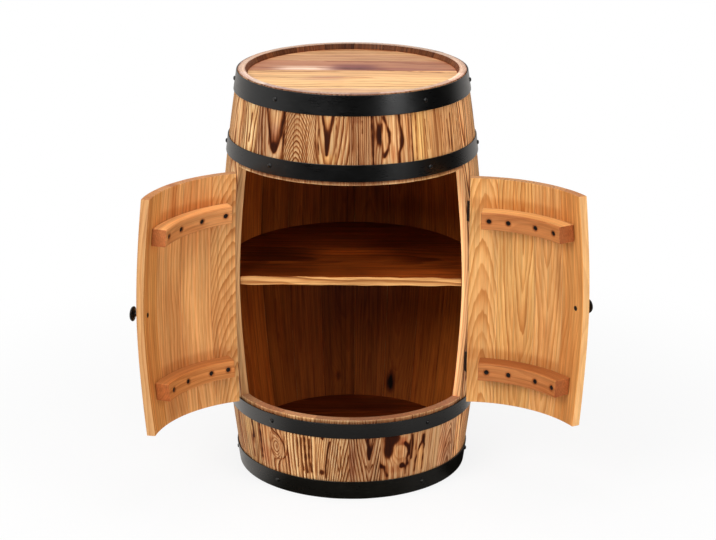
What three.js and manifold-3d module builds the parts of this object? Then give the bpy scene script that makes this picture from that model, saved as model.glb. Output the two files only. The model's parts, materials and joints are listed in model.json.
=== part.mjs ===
// Barrel bar cabinet: a staved barrel with a shelf and two doors sawn from its own staves.
// Millimetres, +Z up, doors at -Y. Angles run about the barrel's upright axis from the
// middle of the front, positive towards +X. The doors stand open.
import * as THREE from 'three';
import { mergeVertices } from 'three/addons/utils/BufferGeometryUtils.js';
import Module from 'manifold-3d';

const solids = await Module();
solids.setup();

const degree = Math.PI / 180;

// Barrel shape
const barrelHeight = 800;
const endRadius = 223;
const bellyRadius = 257.5;
const swellPower = 1.67;
const endThickness = 21;
const bellyThickness = 15;
const rimWidth = 11;

// Fits between pieces
const jointGap = 0.3;
const fitGap = 0.3;

// Staves
const sideStaveCount = 14;
const stavesPerDoor = 4;
const facetsPerStave = 3;
const sideStaveRows = 9;
const railStaveRows = 3;
const doorStaveRows = 5;

// Door opening and doors. The joint shares run from the left jamb to the right one.
const openingHalfAngle = 61.15 * degree;
const openingBottom = 172;
const topRailHeight = 166;
const frontJointShares = [0, 0.1, 0.235, 0.37, 0.5, 0.62, 0.745, 0.89, 1];
const doorFootGap = 2;
const doorHeadGap = 8;
const doorMeetingGap = 3;
const leftDoorOpenAngle = 98.6 * degree;
const rightDoorOpenAngle = 117.6 * degree;

// Top and floor panels, each in a groove of the staves
const lidDepth = 12.5;
const lidThickness = 18;
const floorRise = 44;
const floorThickness = 18;
const grooveDepth = 4;
const panelSegments = 64;

// Shelf
const shelfRise = 416;
const shelfThickness = 18;
const shelfSetBack = 2;
const shelfCurveSegments = 44;

// Hoops and their nails
const hoopThickness = 2;
const endHoopWidth = 37.5;
const middleHoopWidth = 31;
const endHoopReveal = 1.5;
const middleHoopReveal = 7.5;
const hoopSegments = 72;
const nailAngles = [38 * degree, 87 * degree, 133 * degree, 180 * degree];
const nailHeadRadius = 4.4;
const nailHeadRise = 3;
const nailHeadSegments = 8;
const nailHeadRings = 2;

// Door battens. Each door's pair stands off the doors' meeting line and off the jamb.
const battenHeight = 30;
const battenDepth = 25;
const lowerBattenRise = 75;
const upperBattenDrop = 76;
const leftBattenStandOff = { meeting: 35, jamb: 20 };
const rightBattenStandOff = { meeting: 27, jamb: 28 };
const battenFacets = 8;
const battenScrewShares = [0.1, 0.35, 0.68, 0.925];
const battenScrewHoleRadius = 3.6;
const battenScrewHoleDepth = 4;
const battenScrewSegments = 8;

// Knobs
const knobRadius = 14;
const knobProjection = 21;
const knobNeckRadius = 5.5;
const knobEdgeDistance = 25;
const knobRise = 230;
const knobShankRadius = 1.8;
const knobScrewHeadRadius = 3.4;
const knobScrewHeadHeight = 1.2;
const knobSegments = 16;
const knobHoleSegments = 10;
const knobOutlineShares = [
  [0.36, 0.42], [0.62, 0.52], [0.97, 0.64], [1, 0.74], [0.86, 0.89], [0.5, 0.98],
];

// Butt hinges
const hingeHeight = 40;
const hingeInset = 74;
const leafThickness = 1.2;
const leafClearance = 0.25;
const leafInnerMargin = 2;
const knuckleRadius = 3.5;
const knucklePinRadius = 1.5;
const knuckleCount = 3;
const knuckleGap = 0.3;
const hingeAxisClearance = 0.8;
const pinOverhang = 0.6;
const knuckleSegments = 12;

// Outlines of the barrel
const swell = (height) => Math.abs(2 * height / barrelHeight - 1) ** swellPower;
const outerRadius = (height) => bellyRadius - (bellyRadius - endRadius) * swell(height);
const thickness = (height) => bellyThickness + (endThickness - bellyThickness) * swell(height);
const innerRadius = (height) => outerRadius(height) - thickness(height);

const openingTop = barrelHeight - topRailHeight;
const lidTop = barrelHeight - lidDepth;
const lidUnderside = lidTop - lidThickness;
const floorUnderside = floorRise - floorThickness;
const doorBottom = openingBottom + doorFootGap;
const doorTop = openingTop - doorHeadGap;

const frontJoints = frontJointShares.map((share) => openingHalfAngle * (2 * share - 1));
const sideStaveAngle = (2 * Math.PI - 2 * openingHalfAngle) / sideStaveCount;
const widestStaveAngle = frontJoints.slice(1).reduce(
  (widest, joint, place) => Math.max(widest, joint - frontJoints[place]),
  sideStaveAngle,
);
// A flat facet of a stave stands inside its true curve by this ratio of the radius.
const facetRatio = Math.cos(widestStaveAngle / facetsPerStave / 2);
const seatRadius = (radius) => radius * facetRatio - fitGap;

// Hinge plane: a flat between the two leaves of a closed door, beside the jamb. The axis
// stands clear of the door's widest height.
const hingePlaneOffset = jointGap / 2 + fitGap + leafThickness + leafClearance;
const doorHingeGap = 2 * hingePlaneOffset - jointGap / 2;
const doorReach = Math.max(bellyRadius, outerRadius(doorBottom), outerRadius(doorTop));
const hingeAxisRadius = doorReach + hingeAxisClearance;

/** Puts a radius and an angle about the barrel's axis into x and y. */
function around(radius, angle) {
  return [radius * Math.sin(angle), -radius * Math.cos(angle)];
}

/** Heights spread evenly from one height to another, both ends included. */
function heightsBetween(low, high, rows) {
  return Array.from({ length: rows + 1 }, (_, row) => low + (high - low) * row / rows);
}

/** Radius of a faceted wall at any height between the heights of its rows. */
function facetedRadius(radiusOf, heights, height) {
  const above = Math.max(heights.findIndex((row) => row >= height), 1);
  const [low, high] = heights.slice(above - 1, above + 1);
  const share = (height - low) / (high - low);
  return radiusOf(low) * (1 - share) + radiusOf(high) * share;
}

/**
 * Sweeps a closed outline of radius and height points, given anticlockwise, about the
 * barrel's axis from one angle to another. Each end face is a flat that stands off the
 * plane through the axis by its gap.
 */
function sweptSector(outline, startAngle, endAngle, startGap, endGap, steps) {
  const points = [];
  for (let step = 0; step <= steps; step += 1) {
    for (const [radius, height] of outline) {
      const start = startAngle + Math.asin(startGap / radius);
      const end = endAngle - Math.asin(endGap / radius);
      points.push(...around(radius, start + (end - start) * step / steps), height);
    }
  }
  const count = outline.length;
  const faces = [];
  for (let step = 0; step < steps; step += 1) {
    for (let corner = 0; corner < count; corner += 1) {
      const near = step * count + corner;
      const nearNext = step * count + (corner + 1) % count;
      faces.push(near, nearNext + count, nearNext, near, near + count, nearNext + count);
    }
  }
  const corners = outline.map(([radius, height]) => new THREE.Vector2(radius, height));
  for (const [a, b, c] of THREE.ShapeUtils.triangulateShape(corners, [])) {
    const turn = THREE.ShapeUtils.area([corners[a], corners[b], corners[c]]);
    const [second, third] = turn > 0 ? [b, c] : [c, b];
    const far = steps * count;
    faces.push(a, second, third, far + a, far + third, far + second);
  }
  const geometry = new THREE.BufferGeometry();
  geometry.setAttribute('position', new THREE.Float32BufferAttribute(points, 3));
  geometry.setIndex(faces);
  return geometry;
}

/** Turns a closed outline of radius and height points about the upright axis. */
function turned(outline, segments) {
  const points = outline.map(([radius, height]) => new THREE.Vector2(radius, height));
  return new THREE.LatheGeometry(points, segments).rotateX(Math.PI / 2);
}

/** Lays an upright piece so that its axis points outwards at an angle and a height. */
function facingOut(geometry, radius, angle, height) {
  const [x, y] = around(radius, angle);
  return geometry.rotateX(Math.PI / 2).rotateZ(angle).translate(x, y, height);
}

/** Welds a closed geometry into a solid that can be joined and cut. */
function asSolid(geometry) {
  geometry.deleteAttribute('normal');
  geometry.deleteAttribute('uv');
  const welded = mergeVertices(geometry);
  return new solids.Manifold(new solids.Mesh({
    numProp: 3,
    vertProperties: new Float32Array(welded.attributes.position.array),
    triVerts: new Uint32Array(welded.index.array),
  }));
}

/** Gives a joined or cut solid back as a geometry. */
function asGeometry(solid) {
  const { vertProperties, triVerts } = solid.getMesh();
  const geometry = new THREE.BufferGeometry();
  geometry.setAttribute('position', new THREE.BufferAttribute(vertProperties, 3));
  geometry.setIndex(new THREE.BufferAttribute(triVerts, 1));
  return geometry;
}

/** Makes a named mesh with a material of its own. */
function piece(name, geometry, { colour, roughness, metalness }) {
  geometry.computeVertexNormals();
  const material = new THREE.MeshStandardMaterial({ color: colour, roughness, metalness });
  const mesh = new THREE.Mesh(geometry, material);
  mesh.name = name;
  return mesh;
}

/** A finish whose colour goes a little lighter and darker from one stave to the next. */
function toned(finish, place) {
  const toneShares = [0, 0.03, -0.035, 0.015, -0.02];
  const colour = new THREE.Color(finish.colour);
  colour.offsetHSL(0, 0, toneShares[place % toneShares.length]);
  return { ...finish, colour };
}

const burntStave = { colour: 0xc98a4b, roughness: 0.55, metalness: 0 };
const doorStave = { colour: 0xd89a58, roughness: 0.55, metalness: 0 };
const battenWood = { colour: 0xc67d45, roughness: 0.55, metalness: 0 };
const lidWood = { colour: 0xd9a066, roughness: 0.5, metalness: 0 };
const shelfWood = { colour: 0x5f2c10, roughness: 0.5, metalness: 0 };
const blackHoop = { colour: 0x1b1d1f, roughness: 0.38, metalness: 0.6 };
const blackFitting = { colour: 0x121212, roughness: 0.4, metalness: 0.5 };

const name2 = (place) => String(place + 1).padStart(2, '0');
const cabinet = new THREE.Group();

// The inner side of a stave's upper end, from the rim down: bevel, then the lid's groove
const upperEndInside = [
  [outerRadius(barrelHeight) - rimWidth, barrelHeight],
  [innerRadius(lidTop), lidTop + fitGap],
  [innerRadius(lidTop) + grooveDepth, lidTop + fitGap],
  [innerRadius(lidUnderside) + grooveDepth, lidUnderside - fitGap],
  [innerRadius(lidUnderside), lidUnderside - fitGap],
];

// The inner side of a stave's lower end, from the floor's groove down to the foot
const lowerEndInside = [
  [innerRadius(floorRise), floorRise + fitGap],
  [innerRadius(floorRise) + grooveDepth, floorRise + fitGap],
  [innerRadius(floorUnderside) + grooveDepth, floorUnderside - fitGap],
  [innerRadius(floorUnderside), floorUnderside - fitGap],
  [outerRadius(0) - rimWidth, 0],
];

/** Outer side of a stave going up, as outline points. */
const outside = (heights) => heights.map((height) => [outerRadius(height), height]);

/** Inner side of a stave going down, as outline points. */
const inside = (heights) => heights.toReversed().map((height) => [innerRadius(height), height]);

const wallHeights = heightsBetween(floorRise, lidUnderside, sideStaveRows);
const sideOutline = [
  ...outside(heightsBetween(0, barrelHeight, sideStaveRows)),
  ...upperEndInside,
  ...inside(wallHeights.slice(1, -1)),
  ...lowerEndInside,
];
const upperOutline = [
  ...outside(heightsBetween(openingTop, barrelHeight, railStaveRows)),
  ...upperEndInside,
  [innerRadius(openingTop), openingTop],
];
const lowerOutline = [
  ...outside(heightsBetween(0, openingBottom, railStaveRows)),
  [innerRadius(openingBottom), openingBottom],
  ...lowerEndInside,
];
const doorHeights = heightsBetween(doorBottom, doorTop, doorStaveRows);
const doorOutline = [...outside(doorHeights), ...inside(doorHeights)];

// Full-height staves, from the right jamb round the back to the left jamb
for (let place = 0; place < sideStaveCount; place += 1) {
  const start = openingHalfAngle + place * sideStaveAngle;
  const stave = sweptSector(
    sideOutline, start, start + sideStaveAngle, jointGap / 2, jointGap / 2, facetsPerStave,
  );
  cabinet.add(piece(`stave_side_${name2(place)}`, stave, toned(burntStave, place)));
}

// Short staves above and below the opening, from left to right
for (let place = 0; place + 1 < frontJoints.length; place += 1) {
  const [start, end] = frontJoints.slice(place, place + 2);
  for (const [row, outline] of [['upper', upperOutline], ['lower', lowerOutline]]) {
    const stave = sweptSector(outline, start, end, jointGap / 2, jointGap / 2, facetsPerStave);
    cabinet.add(piece(`stave_${row}_${name2(place)}`, stave, toned(burntStave, 2 * place)));
  }
}

// Top and floor panels
const lidRadius = seatRadius(innerRadius(lidTop) + grooveDepth);
const floorRadius = seatRadius(innerRadius(floorUnderside) + grooveDepth);
const disc = (radius, low, high) => turned(
  [[0, low], [radius, low], [radius, high], [0, high]], panelSegments,
);
cabinet.add(piece('lid_panel', asGeometry(asSolid(disc(lidRadius, lidUnderside, lidTop))), lidWood));
cabinet.add(piece(
  'floor_panel', asGeometry(asSolid(disc(floorRadius, floorUnderside, floorRise))), shelfWood,
));

// Shelf: round behind, with a straight front edge between the jambs
const shelfRadius = seatRadius(Math.min(
  facetedRadius(innerRadius, wallHeights, shelfRise),
  facetedRadius(innerRadius, wallHeights, shelfRise - shelfThickness),
));
const shelfFront = innerRadius(shelfRise) * Math.cos(openingHalfAngle) - shelfSetBack;
const shelfCorner = Math.asin(shelfFront / shelfRadius);
const shelfShape = new THREE.Shape();
shelfShape.absarc(0, 0, shelfRadius, -shelfCorner, Math.PI + shelfCorner, false);
shelfShape.closePath();
const shelf = new THREE.ExtrudeGeometry(shelfShape, {
  depth: shelfThickness,
  bevelEnabled: false,
  curveSegments: shelfCurveSegments,
}).translate(0, 0, shelfRise - shelfThickness);
cabinet.add(piece('shelf_board', asGeometry(asSolid(shelf)), shelfWood));

/** Domed nail head whose flat back sits half way into the hoop. */
function nailHead() {
  const outline = [[0, -hoopThickness / 2], [nailHeadRadius, -hoopThickness / 2]];
  for (let ring = 0; ring <= nailHeadRings; ring += 1) {
    const slope = Math.PI / 2 * ring / nailHeadRings;
    const last = ring === nailHeadRings;
    outline.push([last ? 0 : nailHeadRadius * Math.cos(slope), nailHeadRise * Math.sin(slope)]);
  }
  return turned(outline, nailHeadSegments);
}

/** Steel hoop between two heights, with its nails. */
function hoop(low, high) {
  const innerSide = (height) => (outerRadius(height) + fitGap) / Math.cos(Math.PI / hoopSegments);
  const outline = [
    [innerSide(low) + hoopThickness, low],
    [innerSide(high) + hoopThickness, high],
    [innerSide(high), high],
    [innerSide(low), low],
    [innerSide(low) + hoopThickness, low],
  ];
  let band = asSolid(turned(outline, hoopSegments));
  const middle = (low + high) / 2;
  const face = (innerSide(low) + innerSide(high)) / 2 + hoopThickness;
  for (const angle of nailAngles) {
    for (const side of angle < Math.PI ? [-1, 1] : [1]) {
      band = band.add(asSolid(facingOut(nailHead(), face, side * angle, middle)));
    }
  }
  return asGeometry(band);
}

const hoops = {
  hoop_top: [barrelHeight - endHoopReveal - endHoopWidth, barrelHeight - endHoopReveal],
  hoop_upper: [openingTop + middleHoopReveal, openingTop + middleHoopReveal + middleHoopWidth],
  hoop_lower: [
    openingBottom - middleHoopReveal - middleHoopWidth, openingBottom - middleHoopReveal,
  ],
  hoop_bottom: [endHoopReveal, endHoopReveal + endHoopWidth],
};
for (const [name, [low, high]] of Object.entries(hoops)) {
  cabinet.add(piece(name, hoop(low, high), blackHoop));
}

/** Curved batten on a door's inner side, with a blind hole for a screw in every stave. */
function batten(side, middle, standOff) {
  const low = middle - battenHeight / 2;
  const high = middle + battenHeight / 2;
  const back = (height) => seatRadius(facetedRadius(innerRadius, doorHeights, height));
  const outline = [
    [back(low), low],
    [back(high), high],
    [back(high) - battenDepth, high],
    [back(low) - battenDepth, low],
  ];
  const first = standOff.meeting / bellyRadius;
  const last = openingHalfAngle - standOff.jamb / bellyRadius;
  const [start, end] = side > 0 ? [first, last] : [-last, -first];
  let body = asSolid(sweptSector(outline, start, end, 0, 0, battenFacets));
  const face = back(middle) - battenDepth;
  for (const share of battenScrewShares) {
    const hole = new THREE.CylinderGeometry(
      battenScrewHoleRadius, battenScrewHoleRadius, 2 * battenScrewHoleDepth, battenScrewSegments,
    ).rotateX(Math.PI / 2);
    const angle = side * (first + (last - first) * share);
    body = body.subtract(asSolid(facingOut(hole, face, angle, middle)));
  }
  return asGeometry(body);
}

const knobAngle = Math.asin((knobEdgeDistance + doorMeetingGap / 2) / bellyRadius);
const knobHeight = doorBottom + knobRise;

/** Knob turned in one outline with its screw, which crosses the door and ends in a head. */
function knob(side) {
  const seat = facetedRadius(outerRadius, doorHeights, knobHeight) + fitGap;
  const headTop = seatRadius(facetedRadius(innerRadius, doorHeights, knobHeight)) - seat;
  const outline = [
    [0, headTop - knobScrewHeadHeight],
    [knobScrewHeadRadius, headTop - knobScrewHeadHeight],
    [knobScrewHeadRadius, headTop],
    [knobShankRadius, headTop],
    [knobShankRadius, 0],
    [knobNeckRadius, 0],
    ...knobOutlineShares.map(([across, along]) => [knobRadius * across, knobProjection * along]),
    [0, knobProjection],
  ];
  return asGeometry(asSolid(facingOut(turned(outline, knobSegments), seat, side * knobAngle, knobHeight)));
}

/** Hole through the free stave of a door for the knob's screw. */
function knobHole(side) {
  const radius = (knobShankRadius + fitGap) / Math.cos(Math.PI / knobHoleSegments);
  const length = 4 * bellyThickness;
  const hole = new THREE.CylinderGeometry(radius, radius, length, knobHoleSegments);
  return asSolid(facingOut(hole.rotateX(Math.PI / 2), outerRadius(knobHeight), side * knobAngle, knobHeight));
}

/**
 * One leaf of a butt hinge about its own upright axis, with +X away from the barrel.
 * The side is the way its plate stands from the hinge plane. The door's leaf holds the pin.
 */
function hingeLeaf(side, onDoor, plateReach) {
  const pitch = hingeHeight / knuckleCount;
  const plateNear = knuckleRadius + 2 * knuckleGap;
  const offset = side * (leafClearance + leafThickness / 2);
  const plate = new THREE.BoxGeometry(plateReach - plateNear, leafThickness, hingeHeight);
  let body = asSolid(plate.translate(-(plateReach + plateNear) / 2, offset, hingeHeight / 2));
  for (let place = 0; place < knuckleCount; place += 1) {
    if ((place % 2 === 1) !== onDoor) {
      continue;
    }
    const length = pitch - knuckleGap;
    const middle = pitch * (place + 1 / 2);
    const rollNear = knucklePinRadius + knuckleGap + leafThickness / 2;
    const reach = plateNear + leafThickness - rollNear;
    const tab = new THREE.BoxGeometry(reach, leafThickness, length);
    const roll = new THREE.CylinderGeometry(knuckleRadius, knuckleRadius, length, knuckleSegments);
    body = body.add(asSolid(tab.translate(-rollNear - reach / 2, offset, middle)));
    body = body.add(asSolid(roll.rotateX(Math.PI / 2).translate(0, 0, middle)));
  }
  const pinRadius = onDoor ? knucklePinRadius : knucklePinRadius + knuckleGap;
  const pinLength = hingeHeight + 2 * pinOverhang;
  const pin = new THREE.CylinderGeometry(pinRadius, pinRadius, pinLength, knuckleSegments);
  const pinBody = asSolid(pin.rotateX(Math.PI / 2).translate(0, 0, hingeHeight / 2));
  return onDoor ? body.add(pinBody) : body.subtract(pinBody);
}

/** A door with its battens, knob and hinges, swung open about its hinge axis. */
function addDoor(hand, side, openAngle, battenStandOff) {
  const joints = side > 0
    ? frontJoints.slice(stavesPerDoor)
    : frontJoints.slice(0, stavesPerDoor + 1).map((joint) => -joint).toReversed();
  const jambAngle = side * openingHalfAngle;
  const hingeAxis = new THREE.Vector3(hingeAxisRadius, -side * hingePlaneOffset, 0);
  hingeAxis.applyAxisAngle(new THREE.Vector3(0, 0, 1), jambAngle - Math.PI / 2);

  const swing = new THREE.Group();
  swing.position.copy(hingeAxis);
  swing.rotation.z = side * openAngle;
  const door = new THREE.Group();
  door.position.copy(hingeAxis).negate();
  swing.add(door);
  cabinet.add(swing);

  // Staves from the free edge to the hinge edge
  for (let place = 0; place < stavesPerDoor; place += 1) {
    const freeGap = place === 0 ? doorMeetingGap / 2 : jointGap / 2;
    const hingeGap = place + 1 === stavesPerDoor ? doorHingeGap : jointGap / 2;
    const [near, far] = joints.slice(place, place + 2);
    const stave = side > 0
      ? sweptSector(doorOutline, near, far, freeGap, hingeGap, facetsPerStave)
      : sweptSector(doorOutline, -far, -near, hingeGap, freeGap, facetsPerStave);
    const body = place === 0 ? asGeometry(asSolid(stave).subtract(knobHole(side))) : stave;
    door.add(piece(`door_${hand}_stave_${place + 1}`, body, toned(doorStave, place + stavesPerDoor)));
  }

  const battenMiddles = { lower: doorBottom + lowerBattenRise, upper: doorTop - upperBattenDrop };
  for (const [row, middle] of Object.entries(battenMiddles)) {
    const body = batten(side, middle, battenStandOff);
    door.add(piece(`door_${hand}_batten_${row}`, body, battenWood));
  }
  door.add(piece(`door_${hand}_knob`, knob(side), blackFitting));

  const hingeFeet = {
    lower: doorBottom + hingeInset - hingeHeight / 2,
    upper: doorTop - hingeInset - hingeHeight / 2,
  };
  for (const [row, foot] of Object.entries(hingeFeet)) {
    const narrowest = Math.min(innerRadius(foot), innerRadius(foot + hingeHeight));
    const plateReach = hingeAxisRadius - narrowest - leafInnerMargin;
    for (const [owner, onDoor, carrier] of [['frame', false, cabinet], ['door', true, door]]) {
      const leaf = asGeometry(hingeLeaf(onDoor ? -side : side, onDoor, plateReach))
        .rotateZ(jambAngle - Math.PI / 2)
        .translate(hingeAxis.x, hingeAxis.y, foot);
      carrier.add(piece(`hinge_${hand}_${row}_${owner}_leaf`, leaf, blackFitting));
    }
  }
}

addDoor('left', -1, leftDoorOpenAngle, leftBattenStandOff);
addDoor('right', 1, rightDoorOpenAngle, rightBattenStandOff);

// The origin is on the ground under the middle of the whole cabinet, open doors included.
cabinet.updateMatrixWorld(true);
const extent = new THREE.Box3().setFromObject(cabinet, true);
const middle = extent.getCenter(new THREE.Vector3());
cabinet.position.set(-middle.x, -middle.y, -extent.min.z);

export default cabinet;
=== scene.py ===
"""Barrel bar cabinet: a staved barrel with a shelf and two open doors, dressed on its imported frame.

Metres, +Z up, doors towards -Y. Angles run about the barrel's upright axis from the middle
of the front, positive towards +X. Every wooden piece is worked out in the coordinates of its
own board, which are across, depth below the show face, and along the grain, and is then bent
or turned into its place.
"""

from __future__ import annotations

import json
import logging
import math
from collections.abc import Callable, Iterable, Sequence
from dataclasses import dataclass, replace
from enum import Enum
from functools import cache
from typing import Any

import bpy
import numpy as np
from mathutils import Matrix, Vector

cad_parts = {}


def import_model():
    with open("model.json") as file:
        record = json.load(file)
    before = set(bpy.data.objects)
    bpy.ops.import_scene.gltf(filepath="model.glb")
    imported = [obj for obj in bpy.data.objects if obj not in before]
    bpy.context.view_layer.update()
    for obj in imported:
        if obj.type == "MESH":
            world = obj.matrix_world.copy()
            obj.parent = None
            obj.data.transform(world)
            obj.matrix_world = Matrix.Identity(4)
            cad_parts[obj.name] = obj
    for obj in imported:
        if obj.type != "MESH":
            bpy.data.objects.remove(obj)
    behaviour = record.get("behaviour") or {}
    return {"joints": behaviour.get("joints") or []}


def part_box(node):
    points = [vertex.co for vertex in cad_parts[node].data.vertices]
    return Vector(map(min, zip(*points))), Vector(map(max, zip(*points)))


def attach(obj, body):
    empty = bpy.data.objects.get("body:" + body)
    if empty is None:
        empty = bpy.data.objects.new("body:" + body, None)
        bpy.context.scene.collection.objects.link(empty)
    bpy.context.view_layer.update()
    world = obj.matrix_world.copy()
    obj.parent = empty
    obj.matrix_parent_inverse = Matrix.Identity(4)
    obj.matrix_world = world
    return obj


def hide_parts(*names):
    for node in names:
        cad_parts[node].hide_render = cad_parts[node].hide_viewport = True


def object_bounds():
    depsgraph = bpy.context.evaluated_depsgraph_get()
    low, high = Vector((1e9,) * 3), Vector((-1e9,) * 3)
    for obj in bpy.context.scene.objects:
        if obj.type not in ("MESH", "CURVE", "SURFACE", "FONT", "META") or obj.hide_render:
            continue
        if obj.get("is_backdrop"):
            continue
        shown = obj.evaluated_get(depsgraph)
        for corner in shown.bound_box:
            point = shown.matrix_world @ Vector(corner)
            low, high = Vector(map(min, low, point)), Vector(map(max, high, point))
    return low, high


log = logging.getLogger("barrel_cabinet")

Array = np.ndarray
Pair = tuple[float, float]
Triple = tuple[float, float, float]
Colour = Triple
Mapping = Callable[[Array], Array]

MM = 0.001
DEGREE = math.pi / 180

IMAGE_WIDTH = 716


def paint(red: float, green: float, blue: float) -> Colour:
    """A colour given as 0 to 255 screen values, turned into the linear values of a shader."""
    shares = (value / 255 for value in (red, green, blue))
    return tuple(s / 12.92 if s <= 0.04045 else ((s + 0.055) / 1.055) ** 2.4 for s in shares)


def wobble(seed: int, position: Array, wavelength: float, waves: int = 5) -> Array:
    """A slow irregular line between about -1 and 1.

    It is the mean of a few sine waves whose lengths spread round the given one and whose
    phases come from the seed.

    Args:
        seed: Picks the phases and the lengths.
        position: Places along the line.
        wavelength: Middle length of the waves.
        waves: Number of waves.

    Returns:
        One value for each place.
    """
    pick = np.random.default_rng(seed)
    lengths = wavelength * pick.uniform(0.5, 1.7, waves)
    phases = pick.uniform(0, 2 * math.pi, waves)
    turns = 2 * math.pi * position[..., None] / lengths + phases
    return np.sin(turns).mean(-1) * 1.5


# Surfaces


class Side(Enum):
    """Sides of a board: show face, face behind, two edges, two ends and the bevel behind an end."""

    FACE = 0
    BACK = 1
    LOW_EDGE = 2
    HIGH_EDGE = 3
    LOW_END = 4
    HIGH_END = 5
    BEVEL = 6


@dataclass
class Shell:
    """A closed surface.

    Attributes:
        points: Corners in board coordinates or in space, one row of three each.
        faces: Faces as arrays of corner numbers, one array for each number of corners.
        sides: The board side that each face belongs to, in the order of the faces.
    """

    points: Array
    faces: list[Array]
    sides: Array

    def moved(self, mapping: Mapping) -> "Shell":
        """The same surface with its points put through a mapping."""
        return replace(self, points=mapping(self.points))

    def outward_normals(self) -> Array:
        """Normals at the points: the mean of the normals of the faces round each, by area.

        Returns:
            One unit vector for each point.
        """
        total = np.zeros_like(self.points)
        for group in self.faces:
            corners = self.points[group]
            # A quad's two diagonals, or the two sides of a triangle that meet in its first corner.
            twice = np.cross(corners[:, -2] - corners[:, 0], corners[:, -1] - corners[:, -3])
            for corner in range(group.shape[1]):
                np.add.at(total, group[:, corner], twice)
        length = np.linalg.norm(total, axis=1, keepdims=True)
        return total / np.maximum(length, 1e-12)


def joined(shells: Sequence[Shell]) -> Shell:
    """Several closed surfaces put in one, still separate from each other.

    Args:
        shells: The surfaces.

    Returns:
        The one surface, its quads before its triangles.
    """
    offsets = np.cumsum([0] + [len(shell.points) for shell in shells])
    groups, sides = {4: [], 3: []}, {4: [], 3: []}
    for shell, offset in zip(shells, offsets):
        start = 0
        for group in shell.faces:
            corners = group.shape[1]
            groups[corners].append(group + offset)
            sides[corners].append(shell.sides[start : start + len(group)])
            start += len(group)
    faces = [np.concatenate(kept) for kept in groups.values() if kept]
    points = np.concatenate([shell.points for shell in shells])
    return Shell(points, faces, np.concatenate(sides[4] + sides[3]))


def stations(length: float, spacing: float, arris: float, extra: Iterable[float] = ()) -> Array:
    """Places along one side of a board, from minus to plus half its length.

    Between the arrises they are even. On an arris they stand at the tangents of even angles,
    which a rounded block turns into even steps round the arris.

    Args:
        length: Length of the side.
        spacing: Largest step between the arrises.
        arris: Radius of the arris.
        extra: More places, such as the edges of a groove.

    Returns:
        The places in rising order.
    """
    flat = length / 2 - arris
    count = max(1, math.ceil(2 * flat / spacing))
    even = np.linspace(-flat, flat, count + 1)
    rounding = flat + arris * np.tan(np.radians([15, 30, 45]))
    return np.unique(np.concatenate([-rounding, even, rounding, np.fromiter(extra, float)]).round(7))


def rounded_block(across: Array, depth: Array, along: Array, arris: float) -> Shell:
    """A block with rounded arrises in board coordinates.

    A point of the plain block is first held inside the block that is smaller by the radius,
    and then put at the radius from there, towards where it was.

    Args:
        across: Stations across the board, centred.
        depth: Stations through its thickness, centred.
        along: Stations along it, centred.
        arris: Radius of every arris.

    Returns:
        The closed surface, whose depth runs from zero at the show face.
    """
    axes = (across, depth, along)
    shape = tuple(len(axis) for axis in axes)
    shown = np.zeros(shape, bool)
    shown[[0, -1]] = shown[:, [0, -1]] = shown[:, :, [0, -1]] = True
    number = np.full(shape, -1)
    number[shown] = np.arange(shown.sum())
    plain = np.stack(np.meshgrid(*axes, indexing="ij"), -1)[shown]
    halves = np.array([axis[-1] for axis in axes])
    held = np.clip(plain, arris - halves, halves - arris)
    towards = plain - held
    away = towards / np.maximum(np.linalg.norm(towards, axis=1, keepdims=True), 1e-12)
    points = held + arris * away
    points[:, 1] += halves[1]
    sheets = {
        Side.FACE: number[:, 0, :], Side.BACK: number[:, -1, :],
        Side.LOW_EDGE: number[0], Side.HIGH_EDGE: number[-1],
        Side.LOW_END: number[:, :, 0], Side.HIGH_END: number[:, :, -1],
    }
    groups = []
    for side, sheet in sheets.items():
        corners = [sheet[:-1, :-1], sheet[1:, :-1], sheet[1:, 1:], sheet[:-1, 1:]]
        if side in (Side.BACK, Side.LOW_EDGE, Side.LOW_END):
            corners.reverse()
        groups.append(np.stack(corners, -1).reshape(-1, 4))
    sides = np.concatenate([np.full(len(group), side.value) for side, group in zip(sheets, groups)])
    return Shell(points, [np.concatenate(groups)], sides)


def ringed(rings: Array, foot: float, head: float) -> Shell:
    """A closed surface of rings of corners about the upright axis, with a pole at either end.

    Args:
        rings: The corners, from the lowest ring to the highest, by ring, step and axis.
        foot: Height of the lower pole.
        head: Height of the upper pole.

    Returns:
        The surface, all of it show face.
    """
    count, segments = rings.shape[:2]
    corners = count * segments
    points = np.concatenate([rings.reshape(-1, 3), [[0, 0, foot], [0, 0, head]]])
    number = np.arange(corners).reshape(count, segments)
    following = np.roll(number, -1, axis=1)
    quads = np.stack([number[:-1], following[:-1], following[1:], number[1:]], -1).reshape(-1, 4)
    lower = np.stack([following[0], number[0], np.full(segments, corners)], -1)
    upper = np.stack([number[-1], following[-1], np.full(segments, corners + 1)], -1)
    fans = np.concatenate([lower, upper])
    return Shell(points, [quads, fans], np.zeros(len(quads) + len(fans), int))


def lathe(outline: Sequence[Pair], segments: int) -> Shell:
    """Turns an outline about the upright axis: radius times cosine and sine of even angles.

    Args:
        outline: Radius and height, from the lower pole up the outside to the upper pole.
        segments: Steps round the axis.

    Returns:
        The closed surface.
    """
    radius, height = np.array(outline, float).T[:, :, None]
    angle = np.arange(segments) * 2 * math.pi / segments
    rings = [radius * np.cos(angle), radius * np.sin(angle), height + 0 * angle]
    return ringed(np.stack(rings, -1)[1:-1], height[0, 0], height[-1, 0])


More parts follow.
